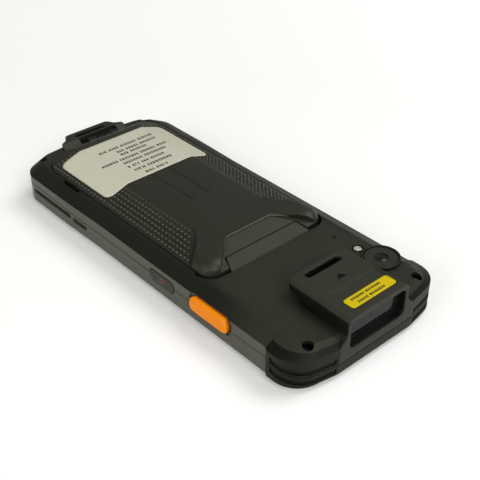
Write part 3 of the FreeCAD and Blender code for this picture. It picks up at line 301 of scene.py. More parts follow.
def housing_plastic(name, roughness, wall_roughness):
    """Case plastic with its zones: satin wall with a painted sheen, band with painted shade, shoulders with
    a painted highlight, and darker corner bumpers.
    """
    material = plastic(name, CASE_BLACK, roughness, grain=0.00003, edge=0.0004, wear=0.3, gloss_level=0.22)
    tree = material.node_tree
    x, y, z = axes(tree)
    low = math_node(tree, "LESS_THAN", z, RIDGE_HEIGHT)
    body_part = math_node(tree, "LESS_THAN", y, BUMPER_START)
    wall = both(tree, low, body_part)
    bumper = both(tree, math_node(tree, "LESS_THAN", z, BUMPER_TOP), rest_of(tree, body_part))
    beside = fade(tree, math_node(tree, "ABSOLUTE", x), *BAND_ACROSS)
    band_painted_shade = both(tree, both(tree, rest_of(tree, low), beside), fade(tree, y, *BAND_ALONG))
    shoulder_painted_highlight = both(tree, math_node(tree, "GREATER_THAN", z, SHOULDER_FOOT),
                    math_node(tree, "GREATER_THAN", y, SHOULDER_START))
    # Painted light on the zones: sheen on the wall, shade on the band, highlight on the shoulders; the
    # bumpers are darker.
    paint_zones(material, ((wall, WALL_PAINTED_SHEEN), (band_painted_shade, BAND_PAINTED_SHADE), (shoulder_painted_highlight, SHOULDER_PAINTED_HIGHLIGHT),
                           (bumper, BUMPER_BLACK)))
    drift = spread(tree, noise(tree, 60, 4), -0.05, 0.05)
    gloss = math_node(tree, "ADD", spread(tree, wall, roughness, wall_roughness), drift)
    tree.links.new(gloss, tree.nodes["Principled BSDF"].inputs["Roughness"])
    return material


finish["housing"] = housing_plastic("housing_plastic", 0.5, 0.34)
head_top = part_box("scan_head_cover")[1].z
head_tree = finish["case"].node_tree
# Painted shade: the head's flanks below its top rim get a darker colour.
head_flank_painted_shade = math_node(head_tree, "LESS_THAN", axes(head_tree)[2], head_top - HEAD_RIM)
paint_zones(finish["case"], [(head_flank_painted_shade, FLANK_PAINTED_SHADE)])


# %% [markdown]
# ## Orange key, glass, metal and boards
# The trigger key is dyed right through, so its orange is warm; like every plastic here it gets
# painted shade, a little deeper in the hollows. Glass is clear or tinted, metal parts are
# brushed, and the boards inside have the faint pattern of copper under green lacquer, even
# though the housing hides them.

# %% Remaining finishes
BRUSH = (1, 12, 1)
# Like every plastic here, the key gets painted shade in its hollows.
finish["key_orange"] = plastic("key_orange", (0.84, 0.235, 0.004), 0.42, grain=0.00002, wear=0.1,
                               gloss_level=0.12)


def glassy(name, colour, roughness, transmission, ior=1.5, speck=0.02):
    """Glass with a trace of dust, seen as a slight drift in its gloss."""
    material, tree, shader = start_material(name, Roughness=roughness, IOR=ior,
                                            Transmission_Weight=transmission)
    dust = noise(tree, 260, 5)
    tree.links.new(spread(tree, dust, roughness, roughness + speck), shader.inputs["Roughness"])
    tint = [c * 0.9 for c in colour]
    tree.links.new(blend_colours(tree, dust, tint, colour), shader.inputs["Base Color"])
    return material


def metal(name, colour, roughness):
    """Metal with fine brush lines across its length."""
    material, tree, shader = start_material(name, Roughness=roughness, Metallic=1.0)
    lines = noise(tree, 900, 3, BRUSH)
    dark = [c * 0.75 for c in colour]
    tree.links.new(blend_colours(tree, lines, dark, colour), shader.inputs["Base Color"])
    tree.links.new(spread(tree, lines, roughness - 0.08, roughness + 0.1), shader.inputs["Roughness"])
    raise_surface(tree, shader, lines, 0.00001)
    return material


def circuit(name, board, copper):
    """Lacquered board: square patches of copper under the lacquer."""
    material, tree, shader = start_material(name, Roughness=0.35)
    cells = add(tree, "ShaderNodeTexBrick", Vector=place_of(tree), Scale=420.0, Mortar_Size=0.08,
                Color1=(0, 0, 0, 1), Color2=(0.25, 0.25, 0.25, 1), Mortar=(1, 1, 1, 1)).outputs[0]
    tree.links.new(blend_colours(tree, cells, board, copper), shader.inputs["Base Color"])
    raise_surface(tree, shader, cells, 0.00002)
    return material


finish["window"] = glassy("window_glass", (0.05, 0.05, 0.05), 0.03, 0.85, ior=1.22, speck=0.0)
finish["lens"] = glassy("lens_glass", (0.06, 0.06, 0.08), 0.02, 0.4)
finish["camera"] = plastic("camera_glass", (0.0170, 0.0175, 0.0130), 0.38, grain=0.000004, wear=0.1)
finish["screen"] = glassy("screen_glass", (0.006, 0.006, 0.007), 0.04, 0.0)
finish["display"] = glassy("display", (0.01, 0.01, 0.012), 0.1, 0.0)
finish["flash"] = glassy("flash_plastic", (0.72, 0.72, 0.60), 0.12, 0.35)
finish["led"] = glassy("led", (0.75, 0.62, 0.16), 0.3, 0.0)
finish["chassis"] = metal("chassis", (0.30, 0.30, 0.31), 0.42)
finish["steel"] = metal("shield_steel", (0.52, 0.52, 0.51), 0.33)
finish["motor"] = metal("motor_steel", (0.55, 0.55, 0.56), 0.28)
finish["screw"] = metal("screw_black", (0.05, 0.05, 0.052), 0.35)
finish["board"] = circuit("circuit_board", (0.01, 0.07, 0.03), (0.05, 0.16, 0.07))
finish["flex"] = circuit("flex", (0.20, 0.09, 0.01), (0.34, 0.18, 0.04))
finish["cell"] = plastic("cell_wrap", (0.10, 0.10, 0.12), 0.35, wear=0.1)
print("finishes", len(finish))

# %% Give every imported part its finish
PARTS = {
    "housing": ["back_case", "front_case"], "case": ["scan_head_cover"],
    "pack": ["battery_shell", "battery_cover"], "latch": ["battery_latch"],
    "key_black": ["power_key", "volume_up_key", "volume_down_key"],
    "key_orange": ["scan_key_left"], "window": ["scan_window"],
    "lens": ["scan_lenses"], "camera": ["camera_window"], "ring": ["camera_ring"],
    "flash": ["flash_lens"], "led": ["flash_led"], "screen": ["display_glass"],
    "display": ["display_module"], "chassis": ["midframe"],
    "steel": ["shield_cans", "usb_socket", "card_socket"],
    "board": ["mainboard", "usb_board"], "flex": ["key_flex"], "motor": ["vibration_motor"],
    "screw": ["case_screws", "board_screws"], "cell": ["battery_cell"], "gasket": ["case_gasket"],
    "contact": ["battery_contacts"],
    "module": ["scan_engine", "camera_module", "microphone", "receiver", "front_camera", "speaker",
               "key_switches"],
}
painted = []
for key, names in PARTS.items():
    for name in names:
        nodes[name].data.materials.clear()
        nodes[name].data.materials.append(finish[key])
        painted.append(name)
print("painted", len(painted), "left over", sorted(set(nodes) - set(painted)))

# %% [markdown]
# ## Smooth shading
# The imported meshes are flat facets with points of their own. Joining the points that coincide
# and shading the faces smooth makes curves look round. A split at sharp angles keeps the crisp
# edges.

# %% Smooth the facets of curved faces
MERGE_DISTANCE = 0.002 * MM
SMOOTH_ANGLE = 33


def smooth_group():
    """Geometry nodes: join coincident points and shade smooth."""
    group = bpy.data.node_groups.new("smooth faces", "GeometryNodeTree")
    group.interface.new_socket("Geometry", in_out="INPUT", socket_type="NodeSocketGeometry")
    group.interface.new_socket("Geometry", in_out="OUTPUT", socket_type="NodeSocketGeometry")
    start = group.nodes.new("NodeGroupInput")
    join = group.nodes.new("GeometryNodeMergeByDistance")
    join.inputs["Distance"].default_value = MERGE_DISTANCE
    shade = group.nodes.new("GeometryNodeSetShadeSmooth")
    end = group.nodes.new("NodeGroupOutput")
    group.links.new(start.outputs[0], join.inputs[0])
    group.links.new(join.outputs[0], shade.inputs[0])
    group.links.new(shade.outputs[0], end.inputs[0])
    return group


def sharp(obj, angle=30):
    """Keep crisp edges on a smooth mesh."""
    split = obj.modifiers.new("crisp edges", "EDGE_SPLIT")
    split.split_angle = math.radians(angle)
    return obj


smoothing = smooth_group()
for obj in nodes.values():
    obj.modifiers.new("smooth faces", "NODES").node_group = smoothing
    sharp(obj, SMOOTH_ANGLE)
print("smoothed", len(nodes), "parts")


# %% [markdown]
# ## Building pieces
# New pieces are plain mesh code. One function turns points and faces into an object with its
# material and tells which body it moves with. Another makes turned parts, such as lens rings,
# from a profile of radius and height, the way a lathe would.

# %% Piece helpers
def piece(name, points, faces, body, slot, material, smooth=True):
    """New object from points and faces, riding on a body."""
    mesh = bpy.data.meshes.new(name)
    mesh.from_pydata([tuple(p) for p in points], [], faces)
    form = bmesh.new()
    form.from_mesh(mesh)
    bmesh.ops.recalc_face_normals(form, faces=form.faces)
    form.to_mesh(mesh)
    form.free()
    for polygon in mesh.polygons:
        polygon.use_smooth = smooth
    mesh.materials.append(material)
    obj = bpy.data.objects.new(name, mesh)
    bpy.context.scene.collection.objects.link(obj)
    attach(obj, body)
    print(name, len(points), "points", len(faces), "faces on", body)
    return obj


def circle(steps):
    """Cosine and sine of evenly spaced angles."""
    angles = [2 * math.pi * i / steps for i in range(steps)]
    return [(math.cos(angle), math.sin(angle)) for angle in angles]


def walls(start, count, rings):
    """Faces between neighbouring rings of points, each ring closed on itself."""
    faces = []
    for ring in range(start, start + (rings - 1) * count, count):
        for i in range(count):
            k = (i + 1) % count
            faces.append((ring + i, ring + k, ring + count + k, ring + count + i))
    return faces


def turned(x, y, profile, steps=48):
    """Points and faces of a lathe part about an upright axis; the last ring is closed."""
    ring = circle(steps)
    points = [(x + radius * c, y + radius * s, height) for radius, height in profile for c, s in ring]
    faces = walls(0, steps, len(profile))
    faces.append(tuple(range((len(profile) - 1) * steps, len(profile) * steps)))
    return points, faces


def thicken(obj, depth):
    """Give a sheet its thickness, inwards from its face."""
    shell = obj.modifiers.new("thickness", "SOLIDIFY")
    shell.thickness = depth
    shell.offset = -1
    return obj


# %% [markdown]
# ## Grip pattern on the pack
# Both slopes of the battery pack carry rows of small oval studs for the fingers. A bump texture
# would vanish at the outline, so each stud is a solid with a rounded top, tilted to the surface
# it stands on. They grow taller towards the sides, and stop at a flaring line near the nose and
# under the big label.

# %% Place the studs
PITCH_ACROSS = 1.8 * MM
PITCH_ALONG = 2.1 * MM
STUD = Vector((0.66, 0.95, 0.48)) * MM
STUD_SIDES = 8
STUD_ROOT = 0.1 * MM
STUD_GROWTH = 5 * MM
STUD_LEAST = 0.3
GRIP_INNER = 17.3 * MM
GRIP_OUTER = 27.0 * MM
GRIP_FAR = -65.0 * MM
GRIP_NEAR = 10.0 * MM
GRIP_FLARE = 1.05
LABEL = {"x0": -25.0 * MM, "x1": 25.0 * MM, "y0": -63.6 * MM, "y1": -30.4 * MM, "corner": 3.0 * MM}


def under_label(x, y, margin=0.4 * MM):
    """Whether the big label covers a place."""
    across = LABEL["x0"] - margin < x < LABEL["x1"] + margin
    along = LABEL["y0"] - margin < y < LABEL["y1"] + margin
    return across and along


def stud(points, faces, centre, normal, height):
    """Oval stud with a rounded top, standing on the surface."""
    along = Vector((0, 1, 0))
    along = (along - normal * along.dot(normal)).normalized()
    across = along.cross(normal)
    start = len(points)
    for level, share in ((-STUD_ROOT, 1.0), (height * 0.6, 0.8), (height, 0.4)):
        for c, s in circle(STUD_SIDES):
            points.append(centre + across * (c * STUD.x * share) + along * (s * STUD.y * share)
                          + normal * level)
    faces.append(tuple(range(start + 2 * STUD_SIDES, start + 3 * STUD_SIDES)))
    faces += walls(start, STUD_SIDES, 3)


def grip(name, side):
    """Field of studs on one slope; side is 1 or -1."""
    points, faces = [], []
    across = GRIP_INNER
    while across < GRIP_OUTER:
        height = STUD.z * min(1, STUD_LEAST + (across - GRIP_INNER) / STUD_GROWTH)
        along = GRIP_FAR
        limit = GRIP_NEAR + (across - GRIP_INNER) * GRIP_FLARE
        while along < limit:
            if not under_label(side * across, along):
                found = under(pack_surface, side * across, along)
                if found:
                    stud(points, faces, *found, height)
            along += PITCH_ALONG
        across += PITCH_ACROSS
    return piece(name, points, faces, "battery", "pack_plastic", finish["studs"])


grip("grip_dashes_left", 1)
grip("grip_dashes_right", -1)


# %% [markdown]
# ## Labels
# The large label is white paper that drapes over the pack's flat top and down its slopes. The
# small yellow one sits in a shallow field on the scanner head. Both are grids of points laid
# on the surface and given the thickness of paper; their print is plain bars in rows.

# %% Paper finishes
def paper(name, colour, roughness=0.5):
    """Paper or ink: soft clouds in its tone and fine fibres."""
    material, tree, shader = start_material(name, Roughness=roughness, Specular_IOR_Level=0.08)
    clouds = noise(tree, 60, 3)
    dark = [c * 0.94 for c in colour]
    tree.links.new(blend_colours(tree, clouds, dark, colour), shader.inputs["Base Color"])
    tree.links.new(spread(tree, clouds, roughness - 0.08, roughness + 0.05), shader.inputs["Roughness"])
    raise_surface(tree, shader, noise(tree, 1500, 4), 0.000008)
    return material


label_white = paper("label_white", (0.50, 0.49, 0.385))
label_yellow = paper("label_yellow", (0.55, 0.43, 0.004))
ink_grey = paper("ink_grey", (0.07, 0.07, 0.065), roughness=0.55)
ink_black = paper("ink_black", (0.02, 0.018, 0.015))

# %% Drape a sheet and its print
SOFTEN = 0.5 * MM
PAPER_LEVEL = 18 * MM


def lie(tree, x, y):
    """Height of paper over the surface: the mean of a few points, so it bridges small steps."""
    heights = []
    for dx, dy in ((0, 0), (SOFTEN, 0), (-SOFTEN, 0), (0, SOFTEN), (0, -SOFTEN)):
        found = under(tree, x + dx, y + dy)
        if found:
            heights.append(found[0].z)
    if not heights:
        heights = [tree.find_nearest(Vector((x, y, PAPER_LEVEL)))[0].z]
    return sum(heights) / len(heights)


def past(value, low, high, radius):
    """Distance past the corner circles' centres, positive at the low end."""
    return max(low + radius - value, 0) or -max(value - high + radius, 0)


def rounded(x, y, field):
    """Pull a point of a rectangle's corner onto the corner's arc."""
    a = past(x, field["x0"], field["x1"], field["corner"])
    b = past(y, field["y0"], field["y1"], field["corner"])
    if a and b:
        pull = 1 - max(abs(a), abs(b)) / math.hypot(a, b)
        return x + a * pull, y + b * pull
    return x, y


def draped(name, tree, field, lift, cells, body, slot, material, depth):
    """Rounded sheet laid on a surface."""
    across, along = cells
    points, faces = [], []
    for j in range(along + 1):
        for i in range(across + 1):
            x = field["x0"] + (field["x1"] - field["x0"]) * i / across
            y = field["y0"] + (field["y1"] - field["y0"]) * j / along
            x, y = rounded(x, y, field)
            points.append((x, y, lie(tree, x, y) + lift))
    for j in range(along):
        for i in range(across):
            a = j * (across + 1) + i
            faces.append((a, a + 1, a + across + 2, a + across + 1))
    return thicken(piece(name, points, faces, body, slot, material), depth)


def bars(name, tree, rows, lift, body, slot, material):
    """Printed bars: each row is (y, height, list of x ranges)."""
    points, faces = [], []
    for y, height, runs in rows:
        for x0, x1 in runs:
            steps = max(1, round((x1 - x0) / MM))
            start = len(points)
            for i in range(steps + 1):
                x = x0 + (x1 - x0) * i / steps
                for edge in (-height / 2, height / 2):
                    points.append((x, y + edge, lie(tree, x, y + edge) + lift))
            for i in range(steps):
                a = start + 2 * i
                faces.append((a, a + 2, a + 3, a + 1))
    return piece(name, points, faces, body, slot, material, smooth=False)


# %% The white label on the pack
PAPER = 0.12 * MM
INK = 0.02 * MM
label_lift = PAPER + 0.1 * MM
draped("pack_label", pack_surface, LABEL, label_lift, (60, 40), "battery", "pack_plastic",
       label_white, PAPER)
chance = random.Random(7)


def random_runs(start, stop, letter, gap, space):
    """Row of short bars set in words, like a line of print."""
    runs = []
    x = start
    word = chance.randint(4, 9)
    while x < stop - letter / 2:
        length = letter * chance.uniform(0.6, 1.1)
        runs.append((x, min(x + length, stop)))
        word -= 1
        x += length + (gap if word else space)
        if word == 0:
            word = chance.randint(3, 9)
    return runs


# Rows of print: middle, start and end of each, in millimetres.
ROWS = ((-56.0, -14.9, 12.3), (-52.7, -14.5, 5.2), (-50.0, -7.7, 5.3), (-46.6, -15.3, 16.4),
        (-43.5, -12.7, 7.8), (-40.1, -9.3, 8.2), (-36.6, -10.3, 8.4), (-32.8, -5.6, 5.7))
BAR_HEIGHT = 1.5 * MM
BAR_LENGTH = 0.95 * MM
BAR_GAP = 0.4 * MM
WORD_GAP = 1.3 * MM
label_rows = [(y * MM, BAR_HEIGHT, random_runs(start * MM, stop * MM, BAR_LENGTH, BAR_GAP, WORD_GAP))
              for y, start, stop in ROWS]
bars("pack_label_print", pack_surface, label_rows, label_lift + INK, "battery", "pack_plastic",
     ink_grey)

# %% The yellow label on the head
head_surface = surface_of("scan_head_cover")
TAG = {"x0": -12.0 * MM, "x1": 8.8 * MM, "y0": 74.2 * MM, "y1": 79.3 * MM, "corner": 1.2 * MM}
TAG_PAPER = 0.08 * MM
TAG_INDENT = 4.6
TAG_REACHES = (12.5, 14.0)
TAG_FIRST_ROW = 1.5
TAG_ROW_PITCH = 2.1
TAG_BAR_HEIGHT = 0.95 * MM
TAG_BAR_LENGTH = 0.7 * MM
TAG_BAR_GAP = 0.3 * MM
TAG_WORD_GAP = 0.9 * MM
tag_lift = TAG_PAPER + 0.03 * MM
draped("head_label", head_surface, TAG, tag_lift, (24, 12), "root", "case_plastic", label_yellow, TAG_PAPER)
tag_rows = []
for k, reach in enumerate(TAG_REACHES):
    y = TAG["y1"] - (TAG_FIRST_ROW + TAG_ROW_PITCH * k) * MM
    start = TAG["x0"] + TAG_INDENT * MM
    stop = TAG["x0"] + (TAG_INDENT + reach) * MM
    runs = random_runs(start, stop, TAG_BAR_LENGTH, TAG_BAR_GAP, TAG_WORD_GAP)
    tag_rows.append((y, TAG_BAR_HEIGHT, runs))
bars("head_label_print", head_surface, tag_rows, tag_lift + INK, "root", "case_plastic", ink_black)


# %% Triangle on the head
MARK_APEX = 63.1 * MM
MARK_LENGTH = 2.5 * MM
MARK_HALF = 2.5 * MM
MARK_MIDDLE = -0.6 * MM


def triangle(shrink, level):
    """Three corners of the mark, drawn in by a distance."""
    inset = shrink * (1 + math.sqrt(2))
    return [(MARK_MIDDLE - MARK_HALF + inset, MARK_APEX + MARK_LENGTH - shrink, level),
            (MARK_MIDDLE + MARK_HALF - inset, MARK_APEX + MARK_LENGTH - shrink, level),
            (MARK_MIDDLE, MARK_APEX + shrink * 1.4, level)]


mark_points = []
for shrink, depth in ((0.1 * MM, 0.3 * MM), (0.1 * MM, 0.12 * MM), (0.25 * MM, 0.06 * MM)):
    mark_points += triangle(shrink, head_top - depth)
piece("head_mark", mark_points, walls(0, 3, 3) + [(6, 7, 8)], "root", "case_plastic", finish["collar"],
      smooth=False)


# %% [markdown]
# ## Bead along the pack's nose
# Where the pack's flat top breaks down towards the head, the mould has a rounded bead that
# catches the light. It is a slim tube with its middle on the surface, run along the ridge and
# down both sides of the facet.

# %% Bead
def tube(path, radius, taper, sides=10):
    """Points and faces of a tube along a path; it thins out over a length at both ends."""
    points = []
    count = len(path)
    for i, place in enumerate(path):
        end_distance = min((place - path[0]).length, (place - path[-1]).length)
        girth = radius * min(1.0, 0.15 + end_distance / taper)
        ahead = (path[min(i + 1, count - 1)] - path[max(i - 1, 0)]).normalized()
        out = ahead.cross(Vector((0, 0, 1))).normalized()
        up = out.cross(ahead)
        points += [place + (out * c + up * s) * girth for c, s in circle(sides)]
    faces = walls(0, sides, count)
    faces.append(tuple(range(sides)))
    faces.append(tuple(range((count - 1) * sides, count * sides)))
    return points, faces


BEAD_RADIUS = 0.55 * MM
BEAD_TAPER = 5.0 * MM
BEAD_SINK = 0.45
BEAD_TURNS = ((-16.2, 25.9, 0), (-10.8, 21.0, 0), (10.8, 21.0, 0), (16.2, 25.9, 0))
EASE_PASSES = 6


def follow(tree, corners, sink, spacing=0.6 * MM):
    """Path on a surface through corner points, with each corner eased."""
    path = []
    for start, end in zip(corners[:-1], corners[1:]):
        steps = max(2, int((end - start).length / spacing))
        for i in range(steps):
            path.append(start.lerp(end, i / steps))
    path.append(corners[-1])
    for _ in range(EASE_PASSES):
        inner = [(a + b * 2 + c) / 4 for a, b, c in zip(path, path[1:], path[2:])]
        path = [path[0]] + inner + [path[-1]]
    return [Vector((p.x, p.y, lie(tree, p.x, p.y) - sink)) for p in path]


bead_path = follow(pack_surface, [Vector(turn) * MM for turn in BEAD_TURNS], BEAD_RADIUS * BEAD_SINK)
# The bead carries the studs' paler plastic, a painted highlight.
piece("nose_bead", *tube(bead_path, BEAD_RADIUS, BEAD_TAPER), "battery", "pack_plastic", finish["studs"])


# %% [markdown]
# ## Camera, flash and screws
# The camera sits in a raised ring under a black disc, with a small lens in a well at its
# middle. The flash has a pale ribbed lens in a black collar. All are turned parts, so each is
# a profile of radius and height. The screws deep in the housing get a six-lobed drive.

# %% Camera disc and lens
eye = middle("camera_window")
eye_low, eye_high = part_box("camera_window")
eye_top = eye_high.z
DISC_RADIUS = (eye_high.x - eye_low.x) / 2
WELL_RADIUS = 2.6 * MM
disc = [(DISC_RADIUS, eye_top - 0.7 * MM), (DISC_RADIUS, eye_top - 0.15 * MM),
        (DISC_RADIUS - 0.15 * MM, eye_top), (WELL_RADIUS + 0.1 * MM, eye_top),
        (WELL_RADIUS, eye_top - 0.1 * MM), (WELL_RADIUS, eye_top - 0.45 * MM),
        (WELL_RADIUS - 0.3 * MM, eye_top - 0.5 * MM)]
points, faces = turned(eye.x, eye.y, disc, 64)
camera_disc = sharp(piece("camera_disc", points, faces, "root", "camera_glass", finish["camera"]))
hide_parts("camera_window")

LENS_RADIUS = 2.2 * MM
dome = [(LENS_RADIUS, eye_top - 0.5 * MM), (LENS_RADIUS, eye_top - 0.4 * MM),
        (LENS_RADIUS * 0.93, eye_top - 0.33 * MM)]
dome += [(LENS_RADIUS * 0.85 * math.cos(a), eye_top - 0.45 * MM + 0.42 * MM * math.sin(a))
         for a in [math.pi / 2 * k / 8 for k in range(1, 8)]]
coated = glassy("coated_lens", (0.008, 0.008, 0.009), 0.12, 0.0, ior=1.35)
points, faces = turned(eye.x, eye.y, dome, 48)
sharp(piece("camera_lens", points, faces, "root", "lens_glass", coated))

# %% Flash lens and collar
spot = middle("flash_lens")
spot_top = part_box("flash_lens")[1].z
COLLAR_RADIUS = 2.05 * MM
RIB_OUTER = 1.5
RIB_PITCH = 0.36
RIB_WIDTH = 0.26 * MM
RIBS = 4
collar = [(COLLAR_RADIUS, spot_top - 0.5 * MM), (COLLAR_RADIUS, spot_top + 0.06 * MM),
          (COLLAR_RADIUS - 0.1 * MM, spot_top + 0.1 * MM), (1.7 * MM, spot_top + 0.06 * MM),
          (1.6 * MM, spot_top - 0.1 * MM), (1.5 * MM, spot_top - 0.4 * MM)]
points, faces = turned(spot.x, spot.y, collar, 40)
sharp(piece("flash_collar", points, faces[:-1], "root", "ring_plastic", finish["collar"]))
ribs = [(1.55 * MM, spot_top - 0.5 * MM)]
for k in range(RIBS):
    outer = (RIB_OUTER - RIB_PITCH * k) * MM
    ribs += [(outer, spot_top - 0.25 * MM), (outer - RIB_WIDTH, spot_top - 0.03 * MM)]
points, faces = turned(spot.x, spot.y, ribs, 36)
flash_lens = sharp(piece("flash_ribs", points, faces, "root", "flash_plastic", finish["flash"]), 20)
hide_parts("flash_lens")

# %% Screw drives
SCREW_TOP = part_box("case_screws")[1].z
SCREW_RADIUS = 1.5 * MM
SCREW_ACROSS = 26.0 * MM
SCREW_ALONG = {"near": 76.6 * MM, "far": -75.2 * MM}
LOBE_RADIUS = 0.72 * MM
LOBE_WAVE = 0.14 * MM
LOBES = 6


def drive(x, y, steps=48):
    """Raised disc with a six-lobed hole."""
    points, faces = [], []
    for level in (SCREW_TOP - 0.3 * MM, SCREW_TOP + 0.25 * MM):
        for i, (c, s) in enumerate(circle(steps)):
            lobe = LOBE_RADIUS + LOBE_WAVE * math.cos(LOBES * 2 * math.pi * i / steps)
            for radius in (SCREW_RADIUS, lobe):
                points.append((x + radius * c, y + radius * s, level))
    for i in range(steps):
        a, b = 2 * i, 2 * ((i + 1) % steps)
        top = 2 * steps
        faces.append((top + a, top + b, top + b + 1, top + a + 1))
        faces.append((a, b, top + b, top + a))
        faces.append((a + 1, top + a + 1, top + b + 1, b + 1))
    return points, faces


for sx, side in ((1, "left"), (-1, "right")):
    for end, y in SCREW_ALONG.items():
        points, faces = drive(sx * SCREW_ACROSS, y)
        sharp(piece("screw_drive_%s_%s" % (end, side), points, faces, "root", "screw_black",
                    finish["screw"]))


# %% [markdown]
# ## Keys
# The orange key has a field of tiny dots, so a gloved thumb finds it. The power key has
# the usual ring-and-bar sign, inlaid in faint orange.

# %% Dots on the trigger key
DOT_PITCH = 0.85 * MM
DOT_RADIUS = 0.22 * MM
DOT_HEIGHT = 0.09 * MM
DOT_SIDES = 8
DOT_ROW_SHARE = 0.87
DOT_MARGIN = 1.6 * MM
DOT_TOP_MARGIN = 0.85 * MM
DOT_END_INSET = 0.6 * MM
FACE_DEPTH = 0.15 * MM


def dot(points, faces, centre):
    """Low dome standing on a side face."""
    start = len(points)
    for share, rise in ((1.0, 0.0), (0.6, 0.75)):
        for c, s in circle(DOT_SIDES):
            points.append((centre.x + rise * DOT_HEIGHT, centre.y + DOT_RADIUS * share * c,
                           centre.z + DOT_RADIUS * share * s))
    points.append((centre.x + DOT_HEIGHT, centre.y, centre.z))
    faces += walls(start, DOT_SIDES, 2)
    ring, tip = start + DOT_SIDES, start + 2 * DOT_SIDES
    faces += [(ring + i, ring + (i + 1) % DOT_SIDES, tip) for i in range(DOT_SIDES)]


def key_dots(name, key):
    """Rows of dots on a key's outer face, every other row shifted by half a step."""
    low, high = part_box(key)
    surface = surface_of(key)
    top = high.z - DOT_TOP_MARGIN
    base = low.z + DOT_MARGIN
    points, faces = [], []
    rows = int((top - base) / (DOT_PITCH * DOT_ROW_SHARE))
    for row in range(rows + 1):
        z = base + (top - base) * row / rows
        inset = DOT_MARGIN + (DOT_END_INSET if row in (0, rows) else 0)
        count = int((high.y - low.y - 2 * inset - 2 * MM) / DOT_PITCH)
        for i in range(count + 1):
            y = middle(key).y + (i - count / 2 + (row % 2) / 2 - 0.25) * DOT_PITCH
            found = look(surface, (PROBE, y, z), (-1, 0, 0))
            if found and abs(found[0].x - high.x) < FACE_DEPTH:
                dot(points, faces, found[0])
    return piece(name, points, faces, key, "key_orange", finish["key_orange"])


key_dots("scan_key_left_dots", "scan_key_left")

# %% Sign on the power key
power = middle("power_key")
power_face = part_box("power_key")[1].x
SIGN_RADIUS = 0.95 * MM
LINE_HALF = 0.11 * MM
SIGN_DEPTH = 0.04 * MM
SIGN_SHIFT = 0.2 * MM
SIGN_START = 40
SIGN_SWEEP = 280
SIGN_STEPS = 24
BAR_START = 0.1 * MM
BAR_REACH = 1.15


def ribbon(points, faces, path, width):
    """Flat raised line on the key's face, along (y, z) points."""
    start = len(points)
    for i, (y, z) in enumerate(path):
        before = path[max(i - 1, 0)]
        after = path[min(i + 1, len(path) - 1)]
        length = math.hypot(after[0] - before[0], after[1] - before[1])
        across = (-(after[1] - before[1]) / length * width, (after[0] - before[0]) / length * width)
        for sign in (-1, 1):
            for depth in (-SIGN_DEPTH, SIGN_DEPTH):
                points.append((power_face + depth, y + sign * across[0], z + sign * across[1]))
    for i in range(len(path) - 1):
        a = start + 4 * i
        faces.append((a + 1, a + 3, a + 7, a + 5))
        faces.append((a, a + 1, a + 5, a + 4))
        faces.append((a + 2, a + 3, a + 7, a + 6))


sign_points, sign_faces = [], []
sign_z = power.z + SIGN_SHIFT
turns = [math.radians(SIGN_START + SIGN_SWEEP * k / SIGN_STEPS) for k in range(SIGN_STEPS + 1)]
arc = [(power.y + SIGN_RADIUS * math.cos(a), sign_z + SIGN_RADIUS * math.sin(a)) for a in turns]
bar = [(power.y + BAR_START, sign_z), (power.y + SIGN_RADIUS * BAR_REACH, sign_z)]
ribbon(sign_points, sign_faces, arc, LINE_HALF)
ribbon(sign_points, sign_faces, bar, LINE_HALF)
faint_orange = plastic("faint_orange", (0.35, 0.10, 0.02), 0.5, wear=0.1)
piece("power_sign", sign_points, sign_faces, "power_key", "key_orange", faint_orange, smooth=False)

# %% [markdown]
# ## Screen side
# The screen side lies on the table, but other views show it. The glass carries a slot with a
# grille for the ear and a small ring round the front camera.

# %% Ear grille and camera ring
glass_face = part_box("display_glass")[0].z
ear = middle("receiver")
EAR_HALF = 5.5 * MM
EAR_WIDTH = 0.7 * MM
GRILLE_DEPTH = 0.05 * MM
HOLE_RADIUS = 0.26 * MM
HOLE_SIDES = 8
HOLE_COUNT = 15
grille_points, grille_faces = [], []
for i in range(HOLE_COUNT):
    x = ear.x - EAR_HALF + 2 * EAR_HALF * i / (HOLE_COUNT - 1)
    for row in (-1, 1):
        y = ear.y + row * EAR_WIDTH / 2
        start = len(grille_points)
        for share, depth in ((1.0, 0.0), (0.75, GRILLE_DEPTH)):
            for c, s in circle(HOLE_SIDES):
                grille_points.append((x + HOLE_RADIUS * share * c, y + HOLE_RADIUS * share * s,
                                      glass_face - depth))
        grille_faces += walls(start, HOLE_SIDES, 2)
        grille_faces.append(tuple(range(start + HOLE_SIDES, start + 2 * HOLE_SIDES)))
piece("ear_grille", grille_points, grille_faces, "root", "shield_steel", finish["steel"])

front_eye = middle("front_camera")
lens_ring = [(1.9 * MM, glass_face), (1.85 * MM, glass_face - 0.06 * MM),
             (1.35 * MM, glass_face - 0.06 * MM), (1.25 * MM, glass_face - 0.01 * MM)]
points, faces = turned(front_eye.x, front_eye.y, lens_ring, 40)
sharp(piece("front_camera_ring", points, faces, "root", "lens_glass", coated))


# %% [markdown]
# ## Scan engine behind the window
# Behind the tinted window are two round lenses and the mouth of the aiming light. The
# engine's front gets a thin rim round each lens and a small slanted window between them.

# %% Engine details
def turned_along(x, z, y, profile, steps=40):
    """Lathe part whose axis lies along Y; the profile is radius and distance forward."""
    points, faces = turned(x, z, profile, steps)
    return [(p[0], y + p[2], p[1]) for p in points], faces


